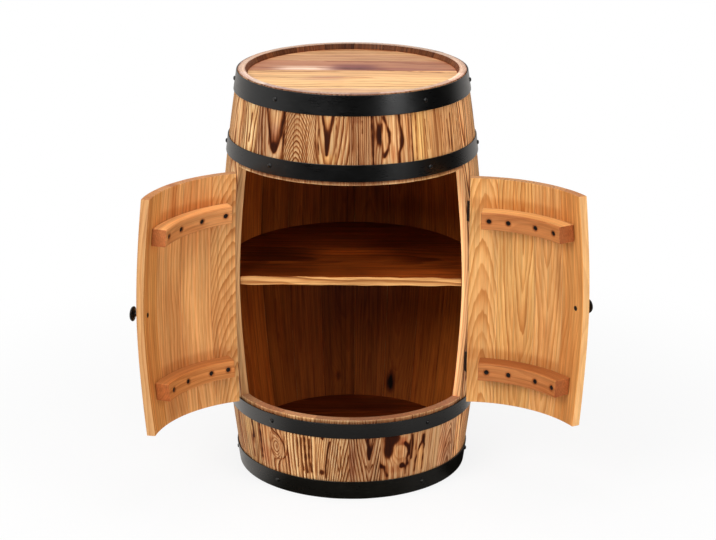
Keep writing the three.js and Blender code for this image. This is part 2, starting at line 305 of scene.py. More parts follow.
def screw_head(radius: float, rise: float, slot_reach: float, slot_half: float) -> Shell:
    """A countersunk screw head with a cross recess, its top at height zero.

    Rings of corners stand round the axis. On each ring the corners keep to the two walls of
    every arm of the cross, at the angle whose sine is the arm's half width over the radius.

    Args:
        radius: Radius of the head.
        rise: Height of the whole head.
        slot_reach: Length of one arm of the cross.
        slot_half: Half the width of an arm.

    Returns:
        The closed surface.
    """
    floor = -0.45 * rise
    # From the foot up: distance from the axis, height in the cross and height beside it.
    profile = (
        (radius * 0.55, -rise, -rise),
        (radius, -0.12 * rise, -0.12 * rise),
        (radius * 0.93, 0.0, -0.02 * rise),
        (slot_reach * 1.04, 0.0, 0.0),
        (slot_reach, floor * 0.7, 0.0),
        (slot_reach * 0.72, floor, 0.0),
        (slot_half * 1.5, floor, -0.05 * rise),
    )
    distance, in_slot, outside = np.array(profile).T[:, :, None]
    wall = np.arcsin(np.minimum(0.6, slot_half / distance))
    beside, quarter = wall * 1.02 + 0.005, math.pi / 2
    marks = [0 * wall, wall, beside, 0 * wall + quarter / 2, quarter - beside, quarter - wall]
    turns = quarter * np.arange(4)[:, None] + np.concatenate(marks, 1)[:, None]
    angle = turns.reshape(len(profile), -1)
    height = np.tile(np.where([True, True, False, False, False, True], in_slot, outside), 4)
    rings = [distance * np.cos(angle), distance * np.sin(angle), height]
    head = ringed(np.stack(rings, -1), -rise, floor)
    # Each quad starts at its upper corner, which settles the diagonal that it is split along.
    head.faces[0] = np.roll(head.faces[0], 1, axis=1)
    return head


def laid(head: Shell, across: float, depth: float, along: float, turn: float = 0.0) -> Shell:
    """A screw head lying in a board's show face.

    Args:
        head: The head, pointing up.
        across: Its place across the board.
        depth: How deep its top lies.
        along: Its place along the board.
        turn: Its turn about its own axis.

    Returns:
        The head in board coordinates.
    """
    x, y, z = head.points.T
    cos, sin = math.cos(turn), math.sin(turn)
    lying = [across + x * cos - y * sin, depth - z, along + x * sin + y * cos]
    return replace(head, points=np.stack(lying, -1))


def smooth_outline(corners: Sequence[Pair], steps: int) -> list[Pair]:
    """A soft outline through a few points, as a Catmull-Rom curve with even steps on each span.

    Args:
        corners: The points.
        steps: Steps on each span.

    Returns:
        Points along the curve.
    """
    ends = np.array([corners[0], *corners, corners[-1]], float)
    share = np.linspace(0, 1, steps, endpoint=False)[:, None]
    spans = []
    for before, start, end, after in zip(ends, ends[1:], ends[2:], ends[3:]):
        square = (2 * before - 5 * start + 4 * end - after) * share**2
        cube = (3 * start - before - 3 * end + after) * share**3
        spans.append(0.5 * (2 * start + (end - before) * share + square + cube))
    return [tuple(point) for point in np.concatenate(spans + [ends[-1:]])]


# Materials


@dataclass(frozen=True)
class Value:
    """One output of a node, on which maths is written as Python."""

    nodes: "Nodes"
    socket: bpy.types.NodeSocket

    def _maths(self, operation: str, first: Any, second: Any) -> "Value":
        """Adds one Math node."""
        return self.nodes.add("ShaderNodeMath", {"operation": operation}, {0: first, 1: second})

    def __add__(self, other: "Value | float") -> "Value":
        """Self plus other."""
        return self._maths("ADD", self, other)

    def __radd__(self, other: float) -> "Value":
        """Other plus self."""
        return self._maths("ADD", other, self)

    def __sub__(self, other: "Value | float") -> "Value":
        """Self minus other."""
        return self._maths("SUBTRACT", self, other)

    def __rsub__(self, other: float) -> "Value":
        """Other minus self."""
        return self._maths("SUBTRACT", other, self)

    def __mul__(self, other: "Value | float") -> "Value":
        """Self times other."""
        return self._maths("MULTIPLY", self, other)

    def __rmul__(self, other: float) -> "Value":
        """Other times self."""
        return self._maths("MULTIPLY", other, self)


class Nodes:
    """The nodes of a material or of the sky."""

    def __init__(self, owner: bpy.types.Material | bpy.types.World) -> None:
        """Starts with no node.

        Args:
            owner: The material or the sky.
        """
        owner.use_nodes = True
        self.owner = owner
        self.tree = owner.node_tree
        self.tree.nodes.clear()

    def add(
        self,
        kind: str,
        settings: dict[str, Any] | None = None,
        sockets: dict[int | str, Any] | None = None,
        output: int | str = 0,
    ) -> Value:
        """Adds a node.

        Args:
            kind: Type of the node.
            settings: Its settings, set first. A ramp's stops are a list of place and colour.
            sockets: Values or links of its input sockets.
            output: The output that is returned.

        Returns:
            That output.
        """
        node = self.tree.nodes.new(kind)
        for key, setting in (settings or {}).items():
            if key == "stops":
                self._set_stops(node.color_ramp, setting)
            else:
                setattr(node, key, setting)
        for key, value in (sockets or {}).items():
            self._feed(node.inputs[key], value)
        return Value(self, node.outputs[output])

    def _feed(self, socket: bpy.types.NodeSocket, value: Any) -> None:
        """Links a value to a socket, or sets the socket to it. A colour gets its alpha.

        Args:
            socket: The input socket.
            value: An output, a number or a colour.
        """
        if isinstance(value, Value):
            self.tree.links.new(value.socket, socket)
        elif socket.type == "RGBA" and len(value) == 3:
            socket.default_value = (*value, 1)
        else:
            socket.default_value = value

    @staticmethod
    def _set_stops(ramp: bpy.types.ColorRamp, stops: Sequence[tuple[float, Any]]) -> None:
        """Gives a ramp its stops. A number stands for a grey.

        Args:
            ramp: The ramp.
            stops: Place and colour of each stop.
        """
        while len(ramp.elements) > 1:
            ramp.elements.remove(ramp.elements[-1])
        for place, (position, colour) in enumerate(stops):
            element = ramp.elements[0] if place == 0 else ramp.elements.new(position)
            element.position = position
            shade = (colour,) * 3 if isinstance(colour, (int, float)) else colour
            element.color = (*shade, 1)

    def principled(self, **inputs: Any) -> Value:
        """A Principled shader, its sockets named with underscores for spaces."""
        sockets = {key.replace("_", " "): value for key, value in inputs.items()}
        return self.add("ShaderNodeBsdfPrincipled", {}, sockets)

    def finish(self, surface: Value, kind: str = "ShaderNodeOutputMaterial") -> Any:
        """Puts a shader on a new output node and gives back the material or the sky."""
        self._feed(self.tree.nodes.new(kind).inputs["Surface"], surface)
        return self.owner

    def attribute(self, name: str, output: str = "Fac") -> Value:
        """An attribute of the mesh."""
        return self.add("ShaderNodeAttribute", {"attribute_name": name}, output=output)

    def noise(self, place: Value, scale: Triple, detail: float = 2, rough: float = 0.5) -> Value:
        """Noise between 0 and 1, its grain one over the scale on each of the three axes.

        Args:
            place: Where it is read.
            scale: Scale on each axis.
            detail: Number of finer layers.
            rough: Weight of the finer layers.

        Returns:
            The noise.
        """
        sockets = {0: place, 1: scale}
        place = self.add("ShaderNodeVectorMath", {"operation": "MULTIPLY"}, sockets)
        sockets = {"Vector": place, "Scale": 1.0, "Detail": detail, "Roughness": rough}
        return self.add("ShaderNodeTexNoise", {}, sockets)

    def ramp(self, factor: Value, stops: Sequence[tuple[float, Any]]) -> Value:
        """Colours or greys along a factor."""
        return self.add("ShaderNodeValToRGB", {"stops": stops}, {"Fac": factor})

    def step(self, value: Value, low: float, high: float) -> Value:
        """A smooth step from 0 at the low value to 1 at the high one."""
        sockets = {"Value": value, "From Min": low, "From Max": high}
        return self.add("ShaderNodeMapRange", {"interpolation_type": "SMOOTHSTEP"}, sockets)

    def mixed(self, factor: Any, first: Any, second: Any, blend: str = "MIX") -> Value:
        """Two colours mixed.

        Args:
            factor: Share of the second one.
            first: One colour.
            second: The other colour.
            blend: How they are blended.

        Returns:
            The colour.
        """
        settings = {"data_type": "RGBA", "blend_type": blend}
        sockets = {"Factor": factor, 6: first, 7: second}
        return self.add("ShaderNodeMix", settings, sockets, output=2)

    def either(self, factor: Value, first: Value, second: Value) -> Value:
        """Two shaders mixed."""
        return self.add("ShaderNodeMixShader", {}, {0: factor, 1: first, 2: second})

    def times(self, first: Any, second: Any) -> Value:
        """Two colours multiplied."""
        return self.mixed(1.0, first, second, "MULTIPLY")

    def bump(self, height: Value, distance: float) -> Value:
        """A normal that follows a height of 0 to 1 over that distance."""
        return self.add("ShaderNodeBump", {}, {"Height": height, "Distance": distance}, "Normal")


Stops = tuple[tuple[float, Any], ...]


def shades(*stops: tuple[float, float, float, float]) -> Stops:
    """The stops of a ramp, each given as its place and three screen values."""
    return tuple((place, paint(*screen)) for place, *screen in stops)


# Darkening across one ring, from the early wood to the sharp outer end of the late wood.
BRUSHED_PROFILE = (
    (0.0, 0.2), (0.12, 0.02), (0.34, 0.08), (0.52, 0.34), (0.68, 0.74), (0.82, 1.0), (0.93, 0.92),
    (1.0, 0.2),
)
PLANED_PROFILE = (
    (0.0, 0.1), (0.1, 0.0), (0.4, 0.22), (0.6, 0.5), (0.8, 0.9), (0.92, 1.0), (0.97, 0.7), (1.0, 0.1),
)


@dataclass(frozen=True)
class WoodFinish:
    """A sawn softwood finish that follows its board's growth rings.

    Attributes:
        rings: Colours from early to late wood, each at its share of the darkening.
        flush: What the colour is multiplied by in slow patches.
        flush_share: Most of it that shows.
        scorch: Colour where the wood is scorched or knotty.
        profile: Darkening across one ring.
        fibre: How much the fibres lighten and darken the wood.
        streaks: How dark the fine streaks between the rings are.
        ripple: How far the rings waver, in rings.
        relief: Height of the brushed late wood.
        roughness: Roughness of the early and of the late wood.
        coat: Weight of the clear varnish.
        specular: Strength of the sheen of the bare wood.
    """

    name: str
    rings: Stops
    flush: Colour
    flush_share: float
    scorch: Colour
    profile: Stops = PLANED_PROFILE
    fibre: float = 0.5
    streaks: float = 0.3
    ripple: float = 1.5
    relief: float = 0.12 * MM
    roughness: Pair = (0.52, 0.48)
    coat: float = 0.0
    specular: float = 0.3

    # Scales of the noises on the three axes of a board, one over metres.
    SLOW = (28, 28, 7)
    QUICK = (230, 230, 24)
    FADE = (60, 60, 9)
    FIBRES = (1500, 1500, 42)
    STRANDS = (480, 480, 8)
    PATCHES = (19, 19, 4.5)
    BROAD = (190, 190, 5)

    def recoloured(
        self, name: str, early: Colour, middle: Colour, late: Colour, **changes: Any
    ) -> "WoodFinish":
        """The same finish with ring colours given as screen values, and perhaps other values."""
        return replace(self, name=name, rings=shades((0, *early), (0.5, *middle), (1, *late)), **changes)

    def material(self) -> bpy.types.Material:
        """Builds the material.

        The mesh gives the ring number as a smooth attribute. Noise that is long in the
        grain's direction makes it waver, its fraction goes through the ring's profile to a
        darkening, and the whole part picks how dark each ring's late wood is. Streaks and
        the soft surroundings of a scorch darken what is left, each as a share of it.

        Returns:
            The new material.
        """
        nodes = Nodes(bpy.data.materials.new(self.name))
        grain = nodes.attribute("grain", "Vector")
        slow = nodes.noise(grain, self.SLOW, 3)
        quick = nodes.noise(grain, self.QUICK)
        waver = (slow - 0.5) * self.ripple
        number = nodes.attribute("rings") + waver + (quick - 0.5) * (self.ripple * 0.22)
        whole = nodes.add("ShaderNodeMath", {"operation": "FLOOR"}, {0: number})
        chance = nodes.add("ShaderNodeTexWhiteNoise", {"noise_dimensions": "1D"}, {"W": whole})
        fade = nodes.noise(grain, self.FADE)
        strength = nodes.attribute("line_depth") * (0.42 + chance * 0.58) * (0.62 + fade * 0.76)
        lines = nodes.ramp(number - whole, self.profile) * strength
        fibres = nodes.noise(grain, self.FIBRES, 3, 0.65)
        strands = nodes.noise(grain, self.STRANDS, 3, 0.6)
        streaked = nodes.step(strands, 0.46, 0.7) * self.streaks
        scorch = nodes.attribute("scorch") * (0.6 + quick * 0.55 + fibres * 0.25)
        halo = nodes.step(scorch, 0.03, 0.8) * 0.92
        darkening = 1 - (1 - lines) * (1 - streaked) * (1 - halo)
        colour = nodes.ramp(darkening, self.rings)
        colour = nodes.mixed(nodes.step(scorch, 0.7, 1.15), colour, self.scorch)

        patch = nodes.noise(grain, self.PATCHES, 3, 0.6)
        flushed = nodes.times(colour, self.flush)
        colour = nodes.mixed(nodes.step(patch, 0.42, 0.7) * self.flush_share, colour, flushed)
        broad = nodes.noise(grain, self.BROAD, 3)
        light = 1 + (fibres - 0.5) * self.fibre + (broad - 0.5) * (self.fibre * 1.6)
        grey = nodes.add("ShaderNodeCombineXYZ", {}, {0: light, 1: light, 2: light})
        colour = nodes.times(nodes.times(colour, grey), nodes.attribute("tone", "Vector"))

        low, high = self.roughness
        shader = nodes.principled(
            Base_Color=colour,
            Roughness=low + darkening * (high - low) + (fibres - 0.5) * 0.12,
            Normal=nodes.bump(darkening * 0.75 + fibres * 0.25, self.relief),
            Specular_IOR_Level=self.specular,
            Coat_Weight=self.coat,
            Coat_Roughness=0.32,
        )
        return nodes.finish(shader)


@dataclass(frozen=True)
class PaintedSteel:
    """Dark steel with a thin satin paint, a little uneven and rubbed.

    Attributes:
        worn: Colour where it is rubbed thin.
        grain: Scale of the streaks on the three axes, one over metres.
        relief: Height of the unevenness.
    """

    name: str
    colour: Colour
    worn: Colour
    roughness: float
    metallic: float
    grain: Triple
    relief: float = 0.05 * MM

    def material(self) -> bpy.types.Material:
        """Builds the material from two noises in object coordinates, one fine and one broad.

        Returns:
            The new material.
        """
        nodes = Nodes(bpy.data.materials.new(self.name))
        place = nodes.add("ShaderNodeTexCoord", output="Object")
        fine = nodes.noise(place, self.grain, 4, 0.6)
        broad = nodes.noise(place, (14, 14, 30), 3)
        rubbed = nodes.step(fine * 0.6 + broad * 0.4, 0.5, 0.75)
        shader = nodes.principled(
            Base_Color=nodes.mixed(rubbed, self.colour, self.worn),
            Roughness=self.roughness + (fine - 0.5) * 0.16 + (broad - 0.5) * 0.14,
            Metallic=self.metallic,
            Normal=nodes.bump(fine, self.relief),
        )
        return nodes.finish(shader)


BURNT_STAVE = WoodFinish(
    name="burnt_stave_wood",
    rings=shades(
        (0, 244, 200, 142), (0.2, 224, 166, 106), (0.42, 185, 122, 72), (0.66, 136, 74, 32),
        (0.86, 94, 44, 15), (1, 72, 30, 8),
    ),
    flush=(0.62, 0.52, 0.5), flush_share=0.6, scorch=paint(62, 25, 6), profile=BRUSHED_PROFILE,
    fibre=0.55, streaks=0.5, relief=0.6 * MM, roughness=(0.62, 0.6), specular=0.08,
)
PLANED_DOOR = WoodFinish(
    name="planed_door_wood",
    rings=shades((0, 238, 178, 108), (0.35, 222, 154, 84), (0.7, 200, 128, 62), (1, 172, 98, 42)),
    flush=(0.84, 0.7, 0.6), flush_share=0.75, scorch=paint(70, 30, 10),
    fibre=0.55, streaks=0.36, coat=0.05, specular=0.18,
)
STAINED_INSIDE = WoodFinish(
    name="stained_inner_wood",
    rings=shades((0, 186, 98, 34), (0.5, 156, 74, 22), (1, 110, 46, 12)),
    flush=(0.7, 0.56, 0.5), flush_share=0.8, scorch=paint(20, 7, 2),
    fibre=1.0, streaks=0.45, ripple=1.4, relief=0.15 * MM, roughness=(0.52, 0.5), specular=0.12,
)
SAWN_EDGE = WoodFinish(
    name="sawn_edge_wood",
    rings=shades((0, 238, 190, 132), (0.5, 212, 156, 100), (1, 160, 104, 60)),
    flush=(0.84, 0.76, 0.74), flush_share=0.6, scorch=paint(84, 42, 18),
    fibre=0.34, streaks=0.25, ripple=0.8, relief=0.2 * MM, roughness=(0.6, 0.55), coat=0.03,
)
SHADED_EDGE = SAWN_EDGE.recoloured("shaded_edge_wood", (204, 157, 101), (182, 128, 76), (137, 85, 45))
END_GRAIN = SAWN_EDGE.recoloured("end_grain_wood", (220, 188, 164), (200, 160, 134), (160, 116, 92))
SILL_GRAIN = SAWN_EDGE.recoloured("sill_grain_wood", (200, 142, 98), (168, 106, 66), (110, 62, 34))
SHELF_EDGE = SAWN_EDGE.recoloured(
    "shelf_edge_wood", (240, 186, 120), (190, 128, 71), (110, 58, 22), streaks=0.6, specular=0.15
)
DOOR_END = SAWN_EDGE.recoloured("door_end_wood", (206, 146, 90), (178, 118, 68), (136, 84, 46))
RIM_BEVEL = STAINED_INSIDE.recoloured("scorched_bevel_wood", (140, 88, 54), (100, 54, 26), (62, 28, 10))
LID_BOARD = WoodFinish(
    name="lid_wood",
    rings=shades((0, 240, 196, 138), (0.4, 230, 180, 122), (0.75, 204, 146, 92), (1, 158, 100, 62)),
    flush=(0.84, 0.76, 0.8), flush_share=0.7, scorch=paint(120, 66, 48),
    ripple=1.6, coat=0.03, specular=0.2,
)
BATTEN = PLANED_DOOR.recoloured(
    "batten_wood", (230, 164, 98), (206, 136, 76), (164, 98, 50),
    scorch=paint(56, 22, 6), fibre=0.5, streaks=0.3,
)
BATTEN_END = BATTEN.recoloured("batten_end_wood", (206, 132, 76), (186, 114, 62), (160, 92, 48))
HOOP_STEEL = PaintedSteel("hoop_steel", paint(4, 4, 4), paint(17, 18, 18), 0.3, 0.0, (60, 60, 420))
# The bottom hoop's paint is a lighter copy: painted light, for the floor's light that it reflects.
LIT_BOTTOM_HOOP_STEEL = replace(
    HOOP_STEEL, name="low_hoop_steel", colour=paint(20, 18, 14), worn=paint(38, 36, 30)
)
HINGE_STEEL = PaintedSteel(
    "hinge_steel", paint(26, 16, 10), paint(56, 36, 22), 0.45, 0.2, (500, 500, 500)
)
SCREW_STEEL = PaintedSteel(
    "screw_steel", paint(24, 18, 15), paint(58, 46, 38), 0.42, 0.4, (900, 900, 900)
)
KNOB_BLACK = PaintedSteel(
    "knob_black", paint(20, 19, 20), paint(44, 40, 40), 0.32, 0.2, (300, 300, 300), 0.03 * MM
)


@cache
def material_of(finish: WoodFinish | PaintedSteel) -> bpy.types.Material:
    """The material of a finish, built once."""
    return finish.material()


def make_piece(
    name: str,
    shell: Shell,
    finishes: dict[Side | None, WoodFinish | PaintedSteel],
    body: str,
    node: str | None = None,
    attributes: dict[str, Array] | None = None,
) -> None:
    """Makes a piece of a closed surface, shaded by its area-weighted normals, at the origin.

    Args:
        name: Name of the piece.
        shell: Its surface in space.
        finishes: Finish of each board side. The one under None dresses the other sides.
        body: The body that it rides on.
        node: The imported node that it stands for.
        attributes: Values at the points, one column or three columns each.
    """
    mesh = bpy.data.meshes.new(name)
    mesh.vertices.add(len(shell.points))
    mesh.vertices.foreach_set("co", shell.points.astype(np.float32).ravel())
    corners = np.concatenate([group.ravel() for group in shell.faces])
    counts = np.concatenate([np.full(len(group), group.shape[1]) for group in shell.faces])
    mesh.loops.add(len(corners))
    mesh.loops.foreach_set("vertex_index", corners.astype(np.int32))
    mesh.polygons.add(len(counts))
    starts = np.concatenate([[0], np.cumsum(counts)[:-1]])
    mesh.polygons.foreach_set("loop_start", starts.astype(np.int32))
    used = list(dict.fromkeys(finishes.values()))
    for finish in used:
        mesh.materials.append(material_of(finish))
    choice = np.array([used.index(finishes.get(side, finishes[None])) for side in Side])
    mesh.polygons.foreach_set("material_index", choice[shell.sides].astype(np.int32))
    mesh.polygons.foreach_set("use_smooth", np.ones(len(counts), bool))
    mesh.update(calc_edges=True)
    for key, values in (attributes or {}).items():
        plain = values.ndim == 1
        layer = mesh.attributes.new(key, "FLOAT" if plain else "FLOAT_VECTOR", "POINT")
        layer.data.foreach_set("value" if plain else "vector", values.astype(np.float32).ravel())
    mesh.normals_split_custom_set_from_vertices(shell.outward_normals())
    piece = bpy.data.objects.new(name, mesh)
    bpy.context.scene.collection.objects.link(piece)
    if node:
        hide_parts(node)
    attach(piece, body)
    log.info("%s on %s", name, body)


# Wood figure, with places and lengths in millimetres


@dataclass(frozen=True)
class Knot:
    """A knot or swirl in a board.

    Attributes:
        width: Reach across.
        length: Reach along.
        rings: Closed rings round it.
        scorch: How dark its middle is.
        core: Size of the dark middle, as a share of its reach.
    """

    across: float
    along: float
    width: float
    length: float
    rings: float = 3.0
    scorch: float = 0.0
    core: float = 0.45

    def nearness(self, across: Array, along: Array) -> Array:
        """Squared distance from the knot in shares of its reach."""
        return ((across - self.across) / self.width) ** 2 + ((along - self.along) / self.length) ** 2


@dataclass(frozen=True)
class Vein:
    """A bold dark line of burnt late wood.

    Attributes:
        path: Points of the line, each its place across and along the board.
        width: Half the width over which it fades.
        depth: How dark it is.
    """

    path: tuple[Pair, ...]
    width: float = 2.6
    depth: float = 1.0

    def scorch(self, across: Array, along: Array) -> Array:
        """Darkness at each place: a narrow and a wide bell curve of the distance to the line.

        Args:
            across: Places across the board.
            along: Places along it.

        Returns:
            The darkness.
        """
        place = np.stack([across, along], -1)
        nearest = np.full(len(place), np.inf)
        corners = np.array(self.path, float)
        for start, end in zip(corners, corners[1:]):
            stretch = end - start
            share = np.clip((place - start) @ stretch / (stretch @ stretch), 0, 1)
            away = place - start - share[:, None] * stretch
            nearest = np.minimum(nearest, (away**2).sum(-1))
        spread = nearest / self.width**2
        swell = 0.8 + 0.3 * wobble(int(self.path[0][0]) + 977, along, 34, 4)
        return self.depth * swell * (0.76 * np.exp(-spread * 1.5) + 0.26 * np.exp(-spread / 4.5))


@dataclass(frozen=True)
class Stain:
    """A soft patch in which the board has another colour.

    Attributes:
        width: Half its width.
        length: Half its length.
        colour: What the wood's colour is multiplied by in its middle.
        depths: From which to which depth the wood has it.
    """

    across: float
    along: float
    width: float
    length: float
    colour: Colour
    depths: Pair = (-9.0, 99.0)

    def cover(self, across: Array, depth: Array, along: Array) -> Array:
        """How far the patch covers each point, from 0 to 1.

        Args:
            across: Places across the board.
            depth: Depths in it.
            along: Places along it.

        Returns:
            The cover, a flat hill with steep sides.
        """
        aside = np.abs((across - self.across) / self.width) ** 3
        shown = (depth > self.depths[0]) & (depth < self.depths[1])
        return shown * np.exp(-aside - np.abs((along - self.along) / self.length) ** 4)


Mark = Knot | Vein | Stain


@dataclass(frozen=True)
class Figure:
    """How a board was sawn from its log, which settles the rings that it shows.

    Attributes:
        seed: Picks everything that is left to chance.
        pith: Place of the log's pith across the board, and its depth below the show face at
            the level height.
        lean: Change of that depth for each length along the board.
        ring_width: Width of one ring.
        line_depth: How dark the late wood is.
        tone: What the colour is multiplied by.
        marks: Knots, veins and stains.
        drift: Change of its place across for each length along the board.
        level: Place along the board where the depth holds.
        crest: Shape of the arches, from 1 for pointed ones to 2 for round ones.
        sway: How far the log wandered.
        stain: Painted shade, which the colour is multiplied by behind the board.
        edge_scorch: How dark the two edges of the face are scorched.
        sanded_ends: How far the lines and scorch fade at the two ends: a painted highlight on the arris.
        breadth: How broad the streaks are.
        behind_lines: Share of the late wood's darkness that the face behind shows.
    """

    seed: int
    pith: Pair
    lean: float
    ring_width: float
    line_depth: float
    tone: Colour
    marks: tuple[Mark, ...] = ()
    drift: float = 0.0
    level: float = 0.0
    crest: float = 2.0
    sway: float = 2.5
    stain: float = 1.0
    edge_scorch: float = 0.0
    sanded_ends: Pair = (0.0, 0.0)
    breadth: float = 1.0
    behind_lines: float = 1.0

    def marked(self, *marks: Mark, **changes: Any) -> "Figure":
        """The same figure with more marks and perhaps other values."""
        return replace(self, marks=(*self.marks, *marks), **changes)

    def attributes(self, board: Array) -> dict[str, Array]:
        """The values that the wood materials read.

        The ring number is the distance from the pith, which leans and wanders along the
        board, over the width of a ring. The distance is the root of the sum of the sideways
        and the downward part, each to the power of the crest. Every knot adds a hill whose
        height is its number of rings and which falls off as a bell curve.

        Args:
            board: Board coordinates of the points.

        Returns:
            Each attribute's values.
        """
        across, depth, along = board.T / MM
        from_level = along - self.level
        aside = across - self.pith[0] - self.drift * from_level
        aside = aside + self.sway * wobble(self.seed, along, 320)
        below = self.pith[1] + self.lean * from_level - depth
        below = below + self.sway * 0.6 * wobble(self.seed + 101, along, 260)
        power = self.crest
        rings = (np.abs(aside) ** power + np.abs(below) ** power) ** (1 / power) / self.ring_width
        half = np.abs(across).max()
        from_face = np.minimum(depth, depth.max() - depth)
        edge = np.clip(np.abs(across) / half, 0, 1) ** 14 * np.exp(-from_face / 1.2)
        scorch = self.edge_scorch * edge * (0.75 + 0.5 * wobble(self.seed + 202, along, 90))
        behind = depth > 8
        tone = np.where(behind, self.stain, 1.0)[:, None] * np.array(self.tone)
        for mark in self.marks:
            if isinstance(mark, Knot):
                nearness = mark.nearness(across, along)
                rings = rings + mark.rings * np.exp(-nearness)
                scorch = scorch + mark.scorch * np.exp(-((nearness / mark.core**2) ** 1.5))
            elif isinstance(mark, Vein):
                scorch = scorch + mark.scorch(across, along)
            else:
                cover = mark.cover(across, depth, along)[:, None]
                tone = tone * (1 + (np.array(mark.colour) - 1) * cover)
        lines = self.line_depth * np.where(behind, self.behind_lines, 1.0)
        # Painted highlight on the rounded arris at the ends: lines and scorch fade there.
        for end, sanded in zip((along.min(), along.max()), self.sanded_ends):
            fade = 1 - sanded * np.exp(-(((along - end) / 7) ** 2))
            lines, scorch = lines * fade, scorch * fade
        return {
            "grain": board / [self.breadth, 1, 1] + 0.731 * self.seed,
            "rings": rings + 37 * (self.seed % 17),
            "line_depth": lines,
            "tone": tone,
            "scorch": np.clip(scorch, 0, 1.2),
        }


def chance_figure(
    seed: int, line_depth: float, ring_width: float = 4.2, knotty: float = 0.45
) -> Figure:
    """A figure that is left to chance, as on the staves that the picture doesn't show.

    Args:
        seed: Picks it.
        line_depth: How dark the late wood is.
        ring_width: Middle width of a ring.
        knotty: Chance of a knot.

    Returns:
        The figure.
    """
    pick = np.random.default_rng(seed)
    light = pick.uniform(0.88, 1.08)
    red = pick.uniform(-0.05, 0.05)
    marks = ()
    if pick.random() < knotty:
        side = pick.choice([-1, 1])
        place = (side * pick.uniform(4, 20), pick.uniform(80, 720))
        reach = (pick.uniform(8, 15), pick.uniform(20, 35))
        marks = (Knot(*place, *reach, rings=pick.uniform(2, 4), scorch=pick.choice([0.0, 1.0])),)
    return Figure(
        pith=(pick.uniform(-20, 20), pick.uniform(20, 50)),
        lean=pick.choice([-1, 1]) * pick.uniform(0.02, 0.09),
        drift=pick.uniform(-0.02, 0.02),
        level=pick.uniform(200, 600),
        ring_width=ring_width * pick.uniform(0.8, 1.3),
        crest=pick.uniform(1.5, 2.0),
        sway=pick.uniform(2, 5),
        line_depth=line_depth * pick.uniform(0.8, 1.15),
        tone=(light * (1 + red), light, light * (1 - red)),
        edge_scorch=pick.uniform(0.2, 0.7),
        marks=marks,
        seed=seed,
    )


def sawn(
    seed: int, pith: Pair, lean: float, ring_width: float, line_depth: float, tone: Colour,
    *marks: Mark, **more: float,
) -> Figure:
    """A figure whose marks are listed."""
    return Figure(seed, pith, lean, ring_width, line_depth, tone, marks, **more)


